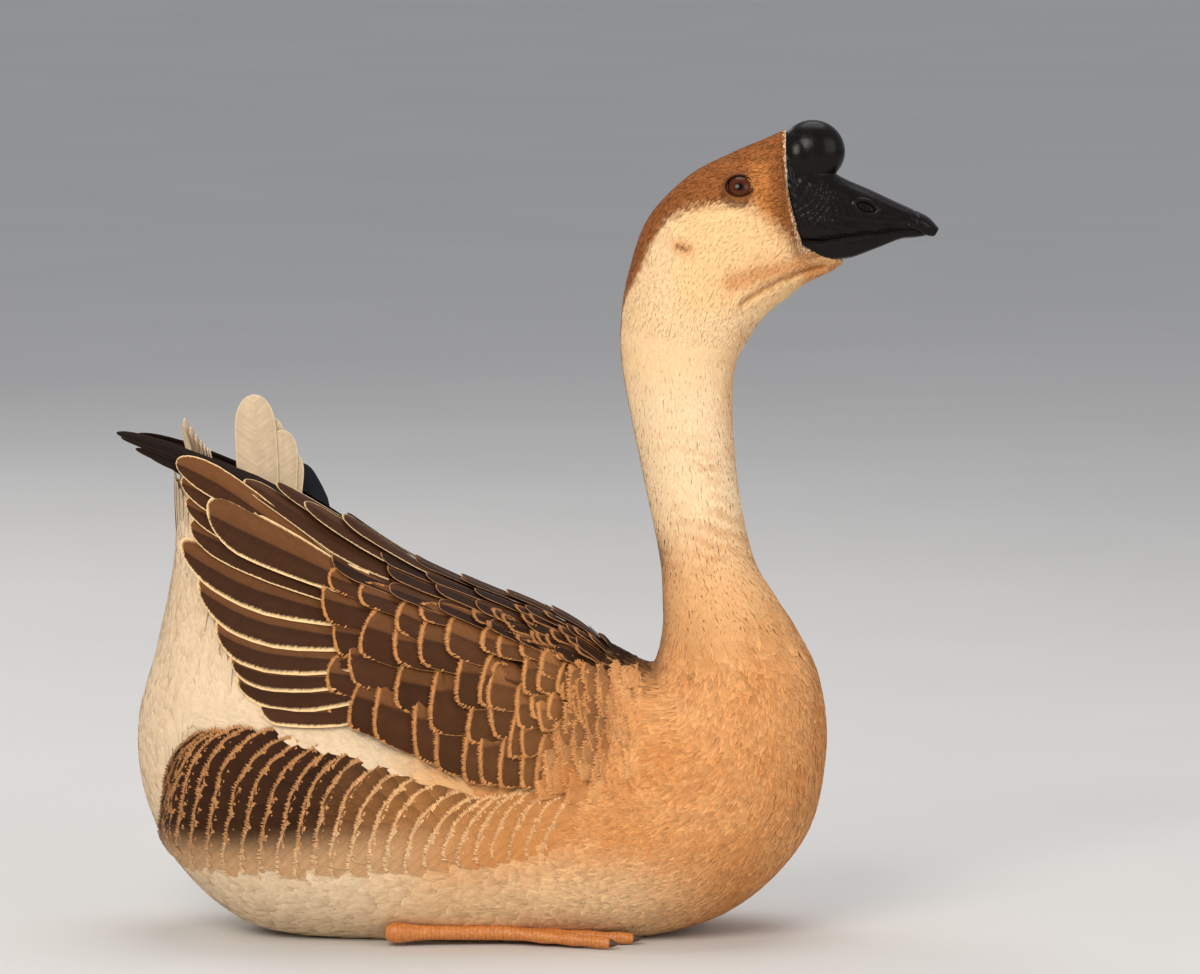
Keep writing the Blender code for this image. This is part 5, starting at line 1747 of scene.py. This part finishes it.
# Each toe's thickness at shares of its length, with the knuckles, then past its tip along the claw.
TOE_SHARES = (0, 0.2, 0.38, 0.5, 0.66, 0.78, 0.9, 1.0)
TOE_RADII = (4.8, 3.7, 4.2, 3.5, 4.0, 3.3, 3.7, 3.2, 2.0, 0.5)
SHANK_RADII = (3.4, 6.4, 4.7, 4.4, 4.6)
WEB_ROWS = 16
WEB_COLUMNS = 9


def web(bm, root, tips):
    """The web between the toes, with its free edge drawn in."""
    rows = []
    for f in np.linspace(0.05, 1.0, WEB_ROWS):
        row = []
        for first in (0, 1):
            for g in np.linspace(0, 1, WEB_COLUMNS)[:WEB_COLUMNS - 1 + first]:
                reach = f * (0.97 - 0.22 * math.sin(math.pi * g) * f)
                place = root + (tips[first] * (1 - g) + tips[first + 1] * g - root) * reach
                place[2] = 2.8 + 0.5 * math.sin(g * math.pi * 4) * f
                row.append(bm.verts.new(Vector(metres(place))))
        rows.append(row)
    for one, two in zip(rows, rows[1:]):
        for k in range(len(one) - 1):
            bm.faces.new((one[k], one[k + 1], two[k + 1], two[k]))


def make_feet(material):
    """Webbed feet, folded on the ground beside the belly."""
    for side, word in SIDES:
        flip = np.array((1, side, 1))
        heel = np.array(HEEL) * flip
        root = np.array(TOE_ROOT) * flip
        tips = [np.array(tip) * flip for tip in TOE_TIPS]
        bm = bmesh.new()
        behind = heel + (heel - root) / np.linalg.norm(heel - root) * 6
        limb(bm, [behind, heel, heel + (root - heel) * 0.25, (heel + root) / 2, root], SHANK_RADII)
        for tip in tips:
            ahead = (tip - root) / np.linalg.norm(tip - root)
            knuckles = [root + (tip - root) * f for f in TOE_SHARES]
            limb(bm, knuckles + [tip + ahead * 3, tip + ahead * CLAW_LENGTH], TOE_RADII)
        limb(bm, [root - (8, 0, 0), np.array(HIND_TOE) * flip], [3.0, 1.5])
        web(bm, root, tips)
        bmesh.ops.recalc_face_normals(bm, faces=bm.faces)
        made = object_from(bm, "foot_" + word + "_look")
        places = np.array([tuple(vertex.co) for vertex in made.data.vertices])
        ends = [metres(tip + unit(tip - root) * CLAW_LENGTH) for tip in tips]
        near = np.min([np.linalg.norm(places - end, axis=1) for end in ends], axis=0) / MM
        store_value(made, "claw", smooth(CLAW_LENGTH, CLAW_LENGTH - 1.5, near))
        own(made, material, ("foot_" + word,))


PIXELS_A_MM = 1.6
PHOTO_WIDTH = 1200
# The middle of the photograph, and the pixel where the bird's own x is 0 and z is ORIGIN_HEIGHT.
PHOTO_MIDDLE = (600, 487)
PHOTO_ORIGIN = (480, 803)
ORIGIN_HEIGHT = 80
FOCAL = 300.0
SENSOR = 36.0
CAMERA_ELEVATION = 6.0
# Each light: name, place in metres, size, power and colour.
LIGHTS = (
    ("key", (-0.9, -2.6, 1.7), 1.6, 62, (1.0, 0.92, 0.82)),
    ("fill", (2.4, -1.6, 1.2), 2.0, 20, (1.0, 0.98, 0.95)),
    ("top", (0.2, 0.6, 2.6), 2.0, 26, (1.0, 0.98, 0.95)),
    ("rear", (-1.6, 2.2, 1.4), 1.6, 16, (1.0, 0.98, 0.95)),
)
LIT_MIDDLE = Vector((0, 0, 0.25))


def make_lights():
    """Plain soft lights and a pale surrounding."""
    for name, place, size, power, colour in LIGHTS:
        light = bpy.data.lights.new(name, "AREA")
        light.shape = "DISK"
        light.size = size
        light.energy = power
        light.color = colour
        lamp = bpy.data.objects.new(name, light)
        lamp.location = place
        lamp.rotation_euler = (LIT_MIDDLE - Vector(place)).to_track_quat("-Z", "Y").to_euler()
        bpy.context.scene.collection.objects.link(lamp)
    world = bpy.data.worlds.new("studio")
    world.use_nodes = True
    sky = world.node_tree.nodes["Background"]
    sky.inputs["Color"].default_value = (0.9, 0.93, 1.0, 1)
    sky.inputs["Strength"].default_value = 0.45
    bpy.context.scene.world = world
    bpy.context.scene.view_settings.view_transform = "Standard"


def make_camera():
    """A long lens at the photograph's angle and scale."""
    lens = bpy.data.cameras.new("camera")
    lens.lens = FOCAL
    lens.sensor_width = SENSOR
    lens.clip_end = 100
    camera = bpy.data.objects.new("camera", lens)
    angle = math.radians(CAMERA_ELEVATION)
    look = Vector((0, -math.cos(angle), math.sin(angle)))
    up = Vector((0, math.sin(angle), math.cos(angle)))
    middle_x = (PHOTO_MIDDLE[0] - PHOTO_ORIGIN[0]) / PIXELS_A_MM - CENTRE_X
    middle_up = (PHOTO_ORIGIN[1] - PHOTO_MIDDLE[1]) / PIXELS_A_MM
    distance = PHOTO_WIDTH / PIXELS_A_MM * MM * FOCAL / SENSOR
    camera.location = Vector((middle_x, 0, ORIGIN_HEIGHT)) * MM + up * (middle_up * MM) + look * distance
    camera.rotation_euler = look.to_track_quat("Z", "Y").to_euler()
    bpy.context.scene.collection.objects.link(camera)
    bpy.context.scene.camera = camera


def make_stage():
    """The floor, the lights and the camera."""
    bpy.ops.mesh.primitive_plane_add(size=80)
    floor = bpy.context.object
    floor.name = "floor"
    floor.data.materials.append(floor_material())
    make_lights()
    make_camera()


def main():
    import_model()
    coat = plumage_material("down_look", 0.85, 0.2, 0.12, 0.15)
    vane = plumage_material("vane_look", 0.6, 0.45, 0.35, 0.4)
    skin = make_skin(coat)
    make_coat(coat)
    for side, word in SIDES:
        make_wing(side, word, vane, coat)
    make_tail(vane)
    make_flanks(skin, vane, coat)
    make_bill(bill_material())
    make_eyes(lid_material())
    make_feet(foot_material())
    make_stage()


main()
